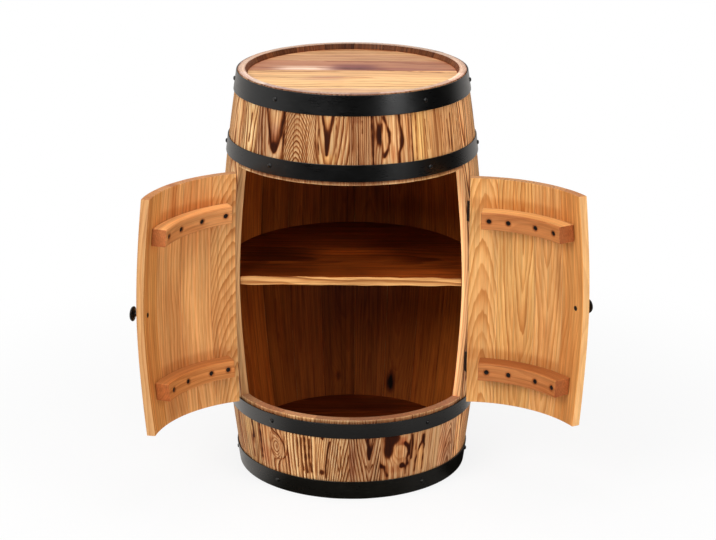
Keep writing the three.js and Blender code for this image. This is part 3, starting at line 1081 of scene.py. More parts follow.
UPPER_FIGURES = (
    sawn(
        61, (6, 18), -0.08, 6, 0.75, (1.16, 1.36, 1.54),
        Vein(((7, 742), (6, 715), (4, 690)), 2.6, 0.8),
        Vein(((-20, 760), (-21, 720), (-23, 690)), 1.8, 0.6), Vein(((18, 735), (17, 690)), 1.4, 0.5),
        level=700, edge_scorch=0.6,
    ),
    sawn(
        63, (17.5, 37), -0.1, 7.4, 0.8, (0.81, 0.81, 0.92),
        Vein(((-9, 762), (-4, 740), (3, 719), (7, 702), (12, 690), (18, 685)), 2.8, 1),
        Vein(((38, 756), (34, 735), (32, 716), (27, 701), (23, 690), (18, 685)), 3.4, 1.1),
        Knot(17, 692, 9, 11, 0, 1.2, 0.8),
        Vein(((-22, 762), (-22, 730), (-14, 690), (-12, 670)), 2.4, 0.5),
        Stain(16, 712, 12, 24, (0.82, 0.72, 0.8)), Stain(14, 748, 13, 14, (1.08, 1.05, 0.95)),
        Stain(-25, 715, 14, 40, (0.8, 0.76, 0.78)), level=686, sway=0.5, edge_scorch=0.5,
    ),
    sawn(
        65, (-2, 33), 0.3, 3, 0.72, (0.75, 0.73, 0.76),
        Vein(((-36, 760), (-33, 730), (-35, 700), (-33, 672)), 2.2, 0.8),
        Vein(((-28, 755), (-27, 735), (-29, 700)), 1.4, 0.5), Stain(-6, 728, 18, 26, (0.86, 0.8, 0.76)),
        Vein(((18, 745), (12, 700), (10, 672)), 1.3, 0.4),
        Vein(((27, 752), (22, 720), (18, 690)), 1.5, 0.45),
        level=700, crest=1.7, sway=1, edge_scorch=0.4,
    ),
    sawn(
        67, (-10.5, 30), -0.17, 9, 0.8, (0.76, 0.73, 0.75),
        Vein(((-22, 760), (-17, 741), (-14, 722), (-11, 703), (-10.5, 690)), 2.5, 1),
        Vein(((1, 760), (-3, 741), (-6, 722), (-9, 705), (-10.5, 690)), 2.5, 1),
        Knot(-10, 715, 6, 24, 0, 1.1, 0.8), Vein(((-28, 735), (-29, 710), (-27, 690)), 1.6, 0.7),
        Vein(((8, 757), (9, 715), (8, 675)), 1.4, 0.6),
        Vein(((20, 757), (20, 700), (21, 675)), 1.2, 0.5), Vein(((28, 757), (27, 700)), 1.2, 0.4),
        Stain(-10, 752, 7, 10, (1.1, 1.08, 1)), Stain(-6, 680, 18, 10, (1.12, 1.08, 0.9)),
        level=690, crest=1.35, sway=0.5, edge_scorch=0.4,
    ),
    sawn(
        69, (40, 14), 0.01, 4.2, 0.8, (0.58, 0.51, 0.52),
        Vein(((13, 765), (13, 745), (14, 715), (15, 670)), 2.2, 1),
        Knot(28, 726, 9, 26, 1, 1.2, 0.75), Vein(((-7, 752), (-7, 730)), 1.6, 0.7),
        Vein(((-27, 757), (-27, 690)), 1.6, 0.5), Stain(-22, 754, 14, 7, (0.7, 0.55, 0.5)),
        Vein(((-16, 745), (-16, 680)), 1.2, 0.4), level=700, sway=0.5, edge_scorch=0.3,
    ),
    sawn(
        71, (-60, 20), 0, 11, 0.5, (0.95, 0.93, 0.97),
        Vein(((-29, 757), (-24, 745), (-18, 728), (-18, 712), (-22, 698), (-29, 686)), 2.9, 1.15),
        Vein(((-33, 745), (-32, 690)), 1.8, 0.4),
        Vein(((4, 765), (5, 748), (8, 730), (10, 714), (6, 700), (2, 690), (2, 668)), 2.9, 1.15),
        Knot(9, 712, 6, 14, 0, 0.8, 0.8), Stain(-10, 690, 5, 14, (0.92, 0.74, 0.66)),
        Stain(22, 735, 6, 34, (0.95, 0.84, 0.74)), Vein(((33, 757), (31, 700), (32, 670)), 1.6, 0.6),
        level=720, sway=1.5, edge_scorch=0.6,
    ),
    sawn(
        73, (-45, 30), 0.02, 12, 0.35, (0.92, 0.88, 0.8),
        Vein(((-8, 745), (-8, 720), (-5, 690)), 1.5, 0.6), Vein(((1, 740), (2, 690)), 1.3, 0.45),
        Vein(((-31, 757), (-32, 675)), 1.3, 0.5), Stain(22, 712, 20, 60, (0.86, 0.72, 0.66)),
        Stain(-24, 720, 14, 60, (1.1, 1.1, 0.95)), level=720, sway=1.5, edge_scorch=0.35,
    ),
    sawn(
        75, (35, 25), 0.2, 4.4, 0.6, (0.99, 0.91, 0.88),
        Vein(((-14, 735), (-13, 700), (-12, 680)), 1.8, 0.7),
        Vein(((-3, 745), (-4, 720), (-5, 675)), 2, 0.8), Vein(((8, 745), (6, 700)), 1.2, 0.4),
        drift=0.1, level=720, sway=1, edge_scorch=0.4,
    ),
)
LOWER_FIGURES = (
    sawn(
        60, (6, 20), -0.1, 7, 0.6, (0.94, 1, 1.04),
        Vein(((7, 132), (9, 115), (9, 96)), 3.4, 1.1), Vein(((6, 96), (2, 70), (4, 50)), 2.6, 0.6),
        Stain(2, 75, 12, 30, (0.85, 0.7, 0.66)), Stain(-12, 115, 12, 22, (1.1, 1.06, 0.95)),
        level=90, edge_scorch=0.7,
    ),
    sawn(
        62, (60, 30), 0, 9, 0.75, (0.87, 0.83, 0.88),
        Knot(18, 94, 12.5, 22, 4.2, 0),
        Vein(((4, 134), (12, 127), (21, 121), (30, 113), (36, 102), (38, 88)), 2, 0.8),
        Vein(((3, 122), (1, 104), (0, 88), (5, 74), (16, 68), (28, 68), (37, 76)), 1.8, 0.6),
        Vein(((-31, 132), (-30, 100), (-31, 60)), 3.2, 1), Stain(-18, 70, 15, 22, (0.85, 0.66, 0.6)),
        Stain(-14, 118, 12, 16, (1.06, 1, 0.9)), level=90, sway=0.5, edge_scorch=0.5,
    ),
    sawn(
        64, (-70, 25), 0.06, 7.4, 1, (1.14, 1.25, 1.36),
        Vein(((-3, 125), (-3, 90), (-5, 60)), 1.5, 0.7), Vein(((6, 125), (5, 90), (8, 55)), 1.7, 0.8),
        Vein(((13, 128), (14, 90), (17, 52)), 2.2, 0.9),
        Vein(((24, 125), (22, 90), (26, 55)), 2.4, 0.9), Stain(-28, 72, 8, 20, (0.86, 0.7, 0.66)),
        Vein(((-36, 120), (-30, 100), (-33, 80)), 1.6, 0.6), level=90, sway=1.5, edge_scorch=0.4,
    ),
    sawn(
        66, (45, 18), 0.1, 4.6, 0.8, (0.82, 0.88, 0.98),
        Vein(((-5, 124), (-9, 108), (-12, 92), (-15, 70), (-15, 45)), 2.2, 1),
        Stain(-25, 98, 12, 40, (1.12, 1.06, 0.95)), Knot(-24, 56, 8, 9, 0.5, 0.8, 0.7),
        Knot(-20, 132, 4, 6, 0.5, 1, 0.8), Vein(((12, 110), (8, 90), (14, 60)), 1.4, 0.6),
        Vein(((18, 115), (17, 80), (21, 50)), 1.6, 0.7), Stain(30, 90, 8, 50, (0.88, 0.8, 0.76)),
        drift=0.12, level=90, sway=1, edge_scorch=0.3,
    ),
    sawn(
        68, (9, 22), -0.16, 5.2, 0.85, (0.65, 0.64, 0.72),
        Vein(((5, 130), (7, 110), (9, 88)), 3, 1.1), Vein(((20, 132), (15, 112), (9, 88)), 2, 0.8),
        Knot(8, 104, 5, 16, 0, 0.9, 0.8), Vein(((3, 72), (9, 58), (16, 74)), 2.4, 0.8),
        Stain(-27, 75, 9, 45, (0.62, 0.45, 0.42)), Stain(-10, 90, 8, 50, (0.9, 0.82, 0.76)),
        level=85, crest=1.3, sway=0.4, edge_scorch=0.3,
    ),
    sawn(
        70, (-60, 30), 0.1, 13, 0.35, (0.71, 0.64, 0.65),
        Knot(-10, 128, 17, 15, 0.5, 1.4, 0.95), Knot(-17, 104, 11, 20, 0.8, 1.4, 0.9),
        Knot(3, 96, 15, 24, 2.2), Vein(((20, 114), (27, 106), (30, 94), (26, 80), (28, 68)), 3.6, 1.2),
        Vein(((33, 118), (34, 88)), 2.4, 0.9), Knot(15, 66, 7, 7, 0.6, 1.2, 0.8),
        Vein(((15, 66), (24, 62), (25, 46)), 2.4, 1),
        Vein(((-33, 70), (-25, 66), (-23, 58), (-18, 48)), 3.8, 1.2),
        Stain(14, 120, 11, 9, (0.78, 0.5, 0.42)), Stain(4, 92, 12, 20, (1.12, 1.04, 0.92)),
        Stain(0, 60, 18, 8, (0.86, 0.7, 0.6)), level=90, edge_scorch=0.5,
    ),
    sawn(
        72, (-60, 40), 0, 14, 0.25, (0.79, 0.75, 0.78),
        Vein(((-10, 122), (-10, 110)), 4.4, 0.9),
        Vein(((-10, 116), (-17, 102), (-22, 88), (-26, 70), (-27, 48)), 2.3, 0.9),
        Vein(((-10, 116), (-6, 100), (-7, 85), (-8, 48)), 2, 0.8),
        Vein(((-37, 128), (-36, 105), (-37, 78)), 2.6, 1), Vein(((-26, 128), (-28, 95)), 1.4, 0.5),
        Stain(-15, 78, 9, 26, (1.14, 1.08, 0.92)), level=90, edge_scorch=0.5,
    ),
    sawn(
        74, (3, 30), 0.16, 5, 0.55, (0.97, 0.95, 1.11),
        Vein(((-7, 110), (2, 126), (10, 112)), 1.8, 0.5), Vein(((-8, 78), (3, 93), (12, 78)), 2, 0.6),
        Vein(((-9, 56), (3, 69), (12, 56)), 2, 0.5), Stain(-15, 75, 14, 30, (0.9, 0.74, 0.68)),
        level=90, crest=1.6, sway=0.6, edge_scorch=0.4,
    ),
)
LEFT_DOOR_FIGURES = (
    sawn(
        201, (60, 40), 0.02, 8, 0.5, (0.91, 0.82, 0.72),
        Stain(14, 400, 7, 300, (0.86, 0.76, 0.7)), level=400, sway=5,
    ),
    sawn(
        203, (70, 30), -0.03, 8.5, 0.5, (0.96, 0.93, 0.99),
        Stain(-8, 610, 12, 60, (0.8, 0.66, 0.56)), Stain(10, 205, 20, 30, (0.86, 0.8, 0.76)),
        level=400, sway=5,
    ),
    sawn(
        205, (8, 27), 0.035, 7.5, 0.6, (0.97, 0.94, 1),
        Stain(8, 425, 8, 45, (1.14, 1.16, 1.2)), Stain(2, 350, 14, 45, (1.12, 1.14, 1.16)),
        level=400, crest=1.5, sway=3,
    ),
    sawn(207, (-30, 112), 0.17, 4.2, 0.85, (0.94, 0.96, 1.06), level=400, crest=1.9, sway=1.2),
)
RIGHT_DOOR_FIGURES = (
    sawn(
        211, (60, 40), 0.02, 8, 0.35, (0.86, 0.77, 0.69),
        Stain(-33, 400, 3, 500, (1.36, 1.4, 1.36)), level=400, sway=5,
    ),
    sawn(213, (2, 31), -0.085, 8, 0.72, (0.94, 0.95, 1.01), level=440, crest=1.4, sway=4),
    sawn(
        215, (-14, 30), -0.09, 7.5, 0.78, (0.96, 1.03, 1.06),
        Stain(-27, 440, 9, 60, (1.1, 1.12, 1.14)), level=410, crest=1.5, sway=4,
    ),
    sawn(217, (0, 62), 0.11, 4.8, 0.75, (0.99, 1.06, 1.16), level=320, crest=1.7, sway=1.2),
)
LID_FIGURES = (
    sawn(
        101, (20, 90), 0.03, 17, 0.9, (0.9, 0.92, 1.11),
        Stain(20, 5, 26, 45, (0.86, 0.74, 0.9)),
    ),
    sawn(
        103, (-60, 50), 0.03, 15, 1, (1, 1, 1),
        Stain(-30, -60, 12, 40, (0.86, 0.78, 0.9)), Vein(((-12, 40), (-16, 160)), 3.5, 0.3),
    ),
    sawn(
        105, (60, 30), 0.03, 15, 1, (0.94, 0.89, 0.9),
        Vein(((-22, -180), (-20, -90), (-24, -20)), 6, 0.55), Stain(25, -45, 10, 35, (0.8, 0.74, 0.92)),
        Vein(((-31, 70), (-24, 125), (-16, 185)), 6, 0.75), Vein(((2, 20), (4, 110)), 3, 0.25),
    ),
    sawn(
        107, (-50, 60), -0.04, 16, 0.8, (0.54, 0.38, 0.45),
        Stain(27, -92, 18, 54, (2.3, 3.9, 5.4)), Vein(((20, -66), (27, 0), (40, 76)), 6, 0.75),
        Stain(12, 4, 25, 46, (0.5, 0.37, 0.55)), Stain(27, 60, 12, 90, (0.8, 0.7, 0.85)),
        Vein(((-10, -150), (-14, -60)), 3, 0.3),
    ),
    sawn(109, (50, 40), 0.04, 15, 0.8, (0.68, 0.58, 0.64)),
    sawn(
        111, (-40, 60), 0.03, 14, 1, (0.74, 0.65, 0.69),
        Vein(((10, -90), (14, 60)), 4, 0.4),
    ),
)
SHELF_FIGURES = (
    sawn(
        121, (-40, 40), 0.04, 5, 1, (0.6, 0.52, 0.46),
        Stain(22, 120, 22, 80, (1.7, 1.75, 1.9)), Stain(10, -150, 40, 90, (0.6, 0.55, 0.55)),
        Stain(48, -76, 8, 3.5, (0.3, 0.2, 0.16), (4, 11)),
    ),
    sawn(
        123, (30, 30), 0.05, 14, 1, (0.5, 0.42, 0.34),
        Stain(-12, -5, 20, 80, (1.75, 1.75, 1.7)), Stain(10, -150, 60, 80, (0.5, 0.45, 0.5)),
    ),
    sawn(125, (-30, 30), 0.03, 12, 1, (0.4, 0.3, 0.26)),
    sawn(127, (20, 30), 0.03, 12, 1, (0.34, 0.24, 0.22)),
)


# The barrel's shape


@dataclass(frozen=True)
class BarrelShape:
    """The barrel's outlines about its upright axis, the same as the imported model's.

    Attributes:
        top_radius: Outer radius at the upper end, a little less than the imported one's.
        swell_power: Power of the swell.
        opening_angle: Half the angle of the door opening.
    """

    axis: Pair
    height: float = 0.8
    end_radius: float = 0.223
    top_radius: float = 0.219
    belly_radius: float = 0.2575
    swell_power: float = 1.67
    end_thickness: float = 0.021
    belly_thickness: float = 0.015
    joint_gap: float = 0.3 * MM
    opening_angle: float = 61.15 * DEGREE

    def outer(self, height: Array | float) -> Array:
        """Outer radius: the belly's, less the swell as a power of the distance from the middle.

        Args:
            height: Height in the barrel.

        Returns:
            The radius.
        """
        share = 2 * np.asarray(height) / self.height - 1
        end = np.where(share > 0, self.top_radius, self.end_radius)
        return self.belly_radius - (self.belly_radius - end) * np.abs(share) ** self.swell_power

    def inner(self, height: Array | float) -> Array:
        """Inner radius: the outer one less a thickness that grows with the same power.

        Args:
            height: Height in the barrel.

        Returns:
            The radius.
        """
        swell = np.abs(2 * np.asarray(height) / self.height - 1) ** self.swell_power
        thickness = self.belly_thickness + (self.end_thickness - self.belly_thickness) * swell
        return self.outer(height) - thickness

    def place(self, radius: Array, angle: Array, height: Array) -> Array:
        """Points in the frame from radius, angle and height.

        Args:
            radius: Distance from the axis.
            angle: Angle from the middle of the front.
            height: Height in the barrel.

        Returns:
            One row for each point.
        """
        east = self.axis[0] + radius * np.sin(angle)
        north = self.axis[1] - radius * np.cos(angle)
        return np.stack(np.broadcast_arrays(east, north, height), -1)

    def studded(self, turned: Array, angle: float, foot: float, height: float) -> Array:
        """Points of an upright turned piece, laid with its axis pointing outwards.

        Args:
            turned: The points.
            angle: Angle at which it stands.
            foot: Radius at which its height is zero.
            height: Height of its axis.

        Returns:
            The points in the frame.
        """
        aside, up, out = turned.T
        points = self.place(foot + out, np.full(len(turned), angle), height + up)
        points[:, 0] += aside * math.cos(angle)
        points[:, 1] += aside * math.sin(angle)
        return points


@dataclass(frozen=True)
class Swing:
    """How an open door stands: turned about its hinge axis from where it is closed.

    Attributes:
        pivot: A point of the hinge axis.
        angle: Angle from closed to open, positive anticlockwise from above.
    """

    pivot: Pair
    angle: float

    @classmethod
    def from_joint(cls, joint: dict[str, Any]) -> "Swing":
        """The swing of a packed joint, whose lower limit is the closed door."""
        opened = -math.radians(joint["range_deg"][0]) * joint["axis"][2]
        return cls(tuple(joint["pos_m"][:2]), opened)

    def __call__(self, points: Array) -> Array:
        """Points of a closed door, swung open.

        Args:
            points: The points with the door closed.

        Returns:
            The points turned about the pivot.
        """
        turned = points.copy()
        away = points[:, :2] - self.pivot
        cos, sin = math.cos(self.angle), math.sin(self.angle)
        turned[:, 0] = self.pivot[0] + away[:, 0] * cos - away[:, 1] * sin
        turned[:, 1] = self.pivot[1] + away[:, 0] * sin + away[:, 1] * cos
        return turned


def stay(points: Array) -> Array:
    """Points of a piece that doesn't swing."""
    return points


# Staves


@dataclass
class Stave:
    """One stave or part of a stave, bent to the barrel's outlines.

    Attributes:
        gaps: Distance of its edges from the planes of those angles.
        inset: How far its outer face stands inside the barrel's outline.
        rims: Width of the flat at the barrel's lower and upper end, where it has one.
        bevels: Height over which the inner face is bevelled to that flat.
        flatness: How far its edges stand inside the curve through its middle line.
    """

    node: str
    body: str
    slot: str
    shape: BarrelShape
    angles: Pair
    heights: Pair
    figure: Figure
    finishes: dict[Side | None, WoodFinish]
    gaps: Pair = (0.0, 0.0)
    swing: Mapping = stay
    inset: float = 0.0
    rims: Pair = (0.0, 0.0)
    bevels: Pair = (0.0, 0.0)
    arris: float = 0.9 * MM
    across_step: float = 3.2 * MM
    along_step: float = 6.5 * MM
    flatness: float = 0.5 * MM

    def build(self) -> None:
        """Makes the stave.

        Across the board becomes the angle, along it the height, and the depth goes from the
        outer radius to the inner one. The outer face is a little flatter than the barrel:
        it falls with the square of the distance from its middle line.
        """
        shape = self.shape
        width = (self.angles[1] - self.angles[0]) * shape.belly_radius
        low, high = self.heights
        middle = (low + high) / 2
        bevel_edges = (self.bevels[0], shape.height - self.bevels[1])
        block = rounded_block(
            stations(width, self.across_step, self.arris),
            stations(shape.belly_thickness, 4 * MM, self.arris),
            stations(
                high - low, self.along_step, self.arris,
                [edge - middle for edge in bevel_edges if low < edge < high],
            ),
            self.arris,
        )
        board = block.points + [0, 0, middle]
        level = board[block.faces[0], 2].mean(1)
        beyond = (level < bevel_edges[0]) | (level > bevel_edges[1])
        block.sides[beyond & (block.sides == Side.BACK.value)] = Side.BEVEL.value
        lift = 0.22 * MM * wobble(self.figure.seed + 7, board[:, 2], 0.3)

        def bent(points: Array) -> Array:
            """Board coordinates bent into the barrel and swung with the door.

            Args:
                points: The points on the board.

            Returns:
                The points in the frame.
            """
            across, depth, along = points.T
            outer = shape.outer(along) - self.inset
            outer = outer - self.flatness * (2 * across / width) ** 2 - np.abs(lift)
            radius = outer - depth / shape.belly_thickness * (outer - self._inner(along))
            start = self.angles[0] + np.arcsin(self.gaps[0] / radius)
            end = self.angles[1] - np.arcsin(self.gaps[1] / radius)
            angle = start + (across / width + 0.5) * (end - start)
            return self.swing(shape.place(radius, angle, along))

        make_piece(
            f"{self.node}_wood", replace(block, points=bent(board)), self.finishes,
            self.body, self.node, self.figure.attributes(board),
        )

    def _inner(self, height: Array) -> Array:
        """Inner radius, bevelled in a straight line to the rim's flat at a barrel end.

        Args:
            height: Height in the barrel.

        Returns:
            The radius.
        """
        shape = self.shape
        inner = shape.inner(height)
        for end, rim, bevel in zip((0.0, shape.height), self.rims, self.bevels):
            if rim:
                distance = np.abs(height - end)
                share = np.clip(1 - distance / bevel, 0, 1)
                goal = shape.outer(end) - rim
                bevelled = shape.inner(abs(end - bevel)) * (1 - share) + goal * share
                inner = np.where(distance < bevel, bevelled, inner)
        return inner


@dataclass
class StavedWall:
    """The barrel's wall: full staves round the back and short ones above and below the doors.

    Attributes:
        rims: Width of the flat at the lower and at the upper end.
        bevels: Height of the inner bevel at either end.
        joints: Joints of the short staves, as shares of the opening's angle.
    """

    shape: BarrelShape
    rims: Pair = (11 * MM, 14.5 * MM)
    bevels: Pair = (26 * MM, 9.5 * MM)
    opening: Pair = (0.172, 0.634)
    joints: tuple[float, ...] = (0, 0.1, 0.235, 0.37, 0.5, 0.62, 0.745, 0.89, 1)
    side_count: int = 14

    OUTSIDE = {
        None: BURNT_STAVE,
        Side.BACK: STAINED_INSIDE,
        Side.LOW_END: END_GRAIN,
        Side.HIGH_END: END_GRAIN,
        Side.BEVEL: RIM_BEVEL,
    }
    JAMBS = {0: {Side.LOW_EDGE: SAWN_EDGE}, 13: {Side.HIGH_EDGE: SHADED_EDGE}}
    BACK_KNOTS = {
        7: (Knot(2, 85, 22, 32, 2.5, 0.7, 0.34),),
        5: (Knot(20, 75, 15, 26, 1.5, 1.25, 0.8), Vein(((19, 90), (18, 120)), 5, 0.5)),
    }
    SIDE_TONES = {0: (1.38, 1.32, 1.34), 13: (1.14, 1.18, 1.3)}
    RIM_GRIME = Stain(0, 801, 150, 4, (0.55, 0.46, 0.46), (-9, 2.5))
    # Painted shade: dark lines on the staves along the edges of the upper and the lower hoop.
    UPPER_HOOP_SHADE = Stain(0, 641.5, 150, 5.6, (0.4, 0.3, 0.28))
    LOWER_HOOP_SHADE = Stain(0, 166, 150, 4.5, (0.52, 0.42, 0.38))

    def edges(self) -> list[float]:
        """Angles of the short staves' joints, from the left jamb to the right one."""
        return [self.shape.opening_angle * (2 * share - 1) for share in self.joints]

    def build(self) -> None:
        """Makes every stave of the wall. The inside has painted shade: darker towards the back and under
        the rim.
        """
        opening_angle, full = self.shape.opening_angle, (0, self.shape.height)
        step = (2 * math.pi - 2 * opening_angle) / self.side_count
        last = self.side_count - 1
        for place in range(self.side_count):
            start = opening_angle + place * step
            aside = abs(2 * place - last) / last
            grain = chance_figure(40 + place, 0.9, knotty=0.45 if aside > 0.6 else 0)
            # Painted shade inside: under the rim, deepest at the left back, and on the inner faces, darker
            # towards the back.
            shade = (0.66 if place > 8 else 0.84) + 0.1 * math.cos(2.3 * place)
            rim_shade = Stain(0, 794, 150, 28, (shade, 0.92 * shade, 0.88 * shade), (13.5, 99))
            grain = grain.marked(
                *self.BACK_KNOTS.get(place, ()), self.RIM_GRIME, rim_shade,
                tone=self.SIDE_TONES.get(place, grain.tone),
                stain=0.5 + 0.84 * aside + 0.06 * (-1) ** place,
                behind_lines=0.45,
            )
            jamb = self.JAMBS.get(place, {})
            self._stave(f"side_{place + 1:02d}", (start, start + step), full, jamb, grain)
        edges = self.edges()
        above, below = (self.opening[1], full[1]), (0, self.opening[0])
        for place, angles in enumerate(zip(edges, edges[1:])):
            # Painted shade along the hoop edges, and a painted highlight on the arris by the opening.
            grain = UPPER_FIGURES[place].marked(self.UPPER_HOOP_SHADE, self.RIM_GRIME, sanded_ends=(0.8, 0))
            self._stave(f"upper_{place + 1:02d}", angles, above, {Side.LOW_END: SAWN_EDGE}, grain)
            grain = LOWER_FIGURES[place].marked(self.LOWER_HOOP_SHADE, sanded_ends=(0, 0.8))
            self._stave(f"lower_{place + 1:02d}", angles, below, {Side.HIGH_END: SILL_GRAIN}, grain)

    def _stave(
        self, name: str, angles: Pair, heights: Pair, cut: dict[Side, WoodFinish], grain: Figure
    ) -> None:
        """Makes one stave of the wall.

        Args:
            name: The end of its node's name.
            angles: Angles of its two edges.
            heights: Heights of its two ends.
            cut: Finish of the edge or end that is cut for the doors.
            grain: Its wood figure.
        """
        short = heights[1] - heights[0] < self.shape.height / 2
        ends = zip(heights, (0, self.shape.height), self.rims)
        Stave(
            f"stave_{name}", "barrel", "burnt_stave_wood", self.shape, angles, heights, grain,
            {**self.OUTSIDE, **cut},
            rims=tuple(rim if height == end else 0 for height, end, rim in ends),
            bevels=self.bevels,
            inset=0.2 * MM,
            flatness=0.9 * MM,
            across_step=(1.7 if short else 3.4) * MM,
            along_step=(2.4 if short else 6) * MM,
        ).build()


# Boarded panels


@dataclass
class BoardedPanel:
    """A round panel of boards that lie from left to right: the lid, the shelf or the floor.

    Attributes:
        joints: Distances of the board joints behind the barrel's axis, from the front.
        figures: A figure for each board, from the front.
        front_finish: Finish of a straight front edge, where there is one.
        wave: How far that edge's arrises wander.
        raised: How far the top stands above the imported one's.
        breadth: How broad the boards' streaks are.
    """

    node: str
    slot: str
    shape: BarrelShape
    joints: tuple[float, ...]
    figures: tuple[Figure, ...]
    finish: WoodFinish
    front_finish: WoodFinish | None = None
    wave: float = 0.0
    raised: float = 0.0
    breadth: float = 3.0
    gap: float = 0.3 * MM
    arris: float = 0.8 * MM
    along_step: float = 7 * MM
    across_step: float = 5 * MM

    # Distances from the middle, as shares of the radius, at which the circle turns sharply.
    TURNS = (-0.9985, -0.996, -0.99, -0.98, -0.96, 0.96, 0.98, 0.99, 0.996, 0.9985)
    # The outermost board ends just inside the circle.
    FULL = 0.9995

    def build(self) -> None:
        """Makes the boards."""
        low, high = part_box(self.node)
        radius = high.y - self.shape.axis[1]
        front = low.y - self.shape.axis[1]
        if front + radius < 2 * MM:
            front = -radius * self.FULL
        edges = [front, *self.joints, radius * self.FULL]
        for place, (near, far) in enumerate(zip(edges, edges[1:])):
            near += self.gap / 2 if place else 0
            far -= self.gap / 2 if place + 2 < len(edges) else 0
            self._board(place, (near, far), radius, (low.z, high.z + self.raised))

    def _board(self, place: int, edges: Pair, radius: float, heights: Pair) -> None:
        """Makes one board.

        Along a board is X from the axis, as a share of the half width that the circle leaves
        at that distance from the axis, and across it runs towards the front.

        Args:
            place: Its place from the front.
            edges: Distances of its edges behind the axis.
            radius: Radius of the circle.
            heights: Heights of its two faces.
        """
        axis = self.shape.axis
        middle, width = sum(edges) / 2, edges[1] - edges[0]
        thickness = heights[1] - heights[0]
        turns = [share * radius for share in self.TURNS]
        extra = [middle - turn for turn in turns if edges[0] + self.arris < turn < edges[1] - self.arris]
        block = rounded_block(
            stations(width, self.across_step, self.arris, extra),
            stations(thickness, 5 * MM, self.arris),
            stations(2 * radius, self.along_step, self.arris),
            self.arris,
        )
        grain = replace(self.figures[place], breadth=self.breadth)
        is_front = place == 0 and self.front_finish is not None

        def laid_down(points: Array) -> Array:
            """Board coordinates laid in the circle.

            Args:
                points: The points on the board.

            Returns:
                The points in the frame.
            """
            across, depth, along = points.T
            behind = middle - across
            reach = np.sqrt(np.maximum(radius**2 - behind**2, 1e-9))
            east = along / radius * reach
            if is_front:
                edge = np.clip((across - (width / 2 - 4 * MM)) / (4 * MM), 0, 1)
                line = self.wave * wobble(grain.seed + 31, east, 0.11)
                lift = self.wave * wobble(grain.seed + 32, east, 0.07)
                behind = behind + edge * np.abs(line) * 0.6
                depth = depth + edge * (lift - self.wave) * (depth / thickness - 0.5)
            return np.stack([axis[0] + east, axis[1] + behind, heights[1] - depth], -1)

        shell = block.moved(laid_down)
        board = block.points.copy()
        board[:, 2] = shell.points[:, 0] - axis[0]
        attributes = grain.attributes(board)
        finishes: dict[Side | None, WoodFinish] = {None: self.finish}
        if is_front:
            finishes[Side.HIGH_EDGE] = self.front_finish
            attributes["tone"][board[:, 0] > width / 2 - self.arris * 0.9] = (1.05, 1.02, 0.98)
        make_piece(
            f"{self.node}_{place + 1}", shell, finishes, "barrel",
            None if place else self.node, attributes,
        )


# Hoops


@dataclass
class Hoop:
    """A steel hoop whose ends lap, with its domed nails.

    Attributes:
        fit: Gap to the staves.
        lap_angle: Angle of the lap's middle, where a nail holds it.
    """

    node: str
    shape: BarrelShape
    finish: PaintedSteel
    thickness: float = 2 * MM
    fit: float = 0.3 * MM
    lap: float = 34 * MM
    lap_angle: float = 133 * DEGREE
    nail_angles: tuple[float, ...] = (-133, -87, -38, 38, 87, 133, 180)
    nail_radius: float = 4.4 * MM
    nail_rise: float = 2.9 * MM
    arris: float = 0.6 * MM

    def build(self) -> None:
        """Makes the strip and its nails.

        Across the board becomes the angle. Where the strip comes round to its start again,
        it steps out by its own thickness along a smooth ramp.
        """
        low, high = (corner.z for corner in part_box(self.node))
        shape = self.shape
        inner_low, inner_high = (float(shape.outer(z)) + self.fit for z in (low, high))
        middle_radius = (inner_low + inner_high) / 2 + self.thickness
        round_once = 2 * math.pi * middle_radius
        length = round_once + self.lap
        start = self.lap_angle - self.lap / 2 / middle_radius
        block = rounded_block(
            stations(length, 7 * MM, self.arris),
            stations(self.thickness, self.thickness, self.arris),
            stations(high - low, 6 * MM, self.arris),
            self.arris,
        )

        def wound(points: Array) -> Array:
            """Strip coordinates wound round the barrel.

            Args:
                points: The points on the board.

            Returns:
                The points in the frame.
            """
            across, depth, along = points.T
            travelled = across + length / 2
            share = (along + (high - low) / 2) / (high - low)
            ramp = np.clip((travelled - round_once + 16 * MM) / (14 * MM), 0, 1)
            outwards = (self.thickness + 0.1 * MM) * ramp * ramp * (3 - 2 * ramp)
            radius = inner_low + (inner_high - inner_low) * share + self.thickness - depth + outwards
            return shape.place(radius, start + travelled / middle_radius, low + share * (high - low))

        heads = []
        for angle in (degrees * DEGREE for degrees in self.nail_angles):
            on_lap = abs(angle - self.lap_angle) < 1 * DEGREE
            foot = middle_radius + (self.thickness if on_lap else 0)
            heads.append(
                self._nail().moved(lambda head: shape.studded(head, angle, foot, (low + high) / 2))
            )
        steel = {None: self.finish}
        strip = block.moved(wound)
        make_piece(f"{self.node}_strip", strip, steel, "barrel", self.node)
        make_piece(f"{self.node}_nails", joined(heads), steel, "barrel")

    def _nail(self) -> Shell:
        """A domed nail head: radius and rise follow a quarter of an ellipse.

        Returns:
            The head, pointing up.
        """
        sunk = -0.6 * MM
        slope = np.linspace(0, math.pi / 2, 8)[:-1]
        dome = np.stack([self.nail_radius * np.cos(slope) ** 0.8, self.nail_rise * np.sin(slope)], -1)
        return lathe([(0, sunk), (self.nail_radius, sunk), *dome, (0, self.nail_rise)], 20)


# Doors


@dataclass
class Fitting:
    """A piece or a pair of pieces on a door.

    Attributes:
        node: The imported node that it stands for, or the start of its nodes' names.
        hand: -1 for the left door and 1 for the right one.
    """

    node: str
    body: str
    shape: BarrelShape
    swing: Swing
    hand: int


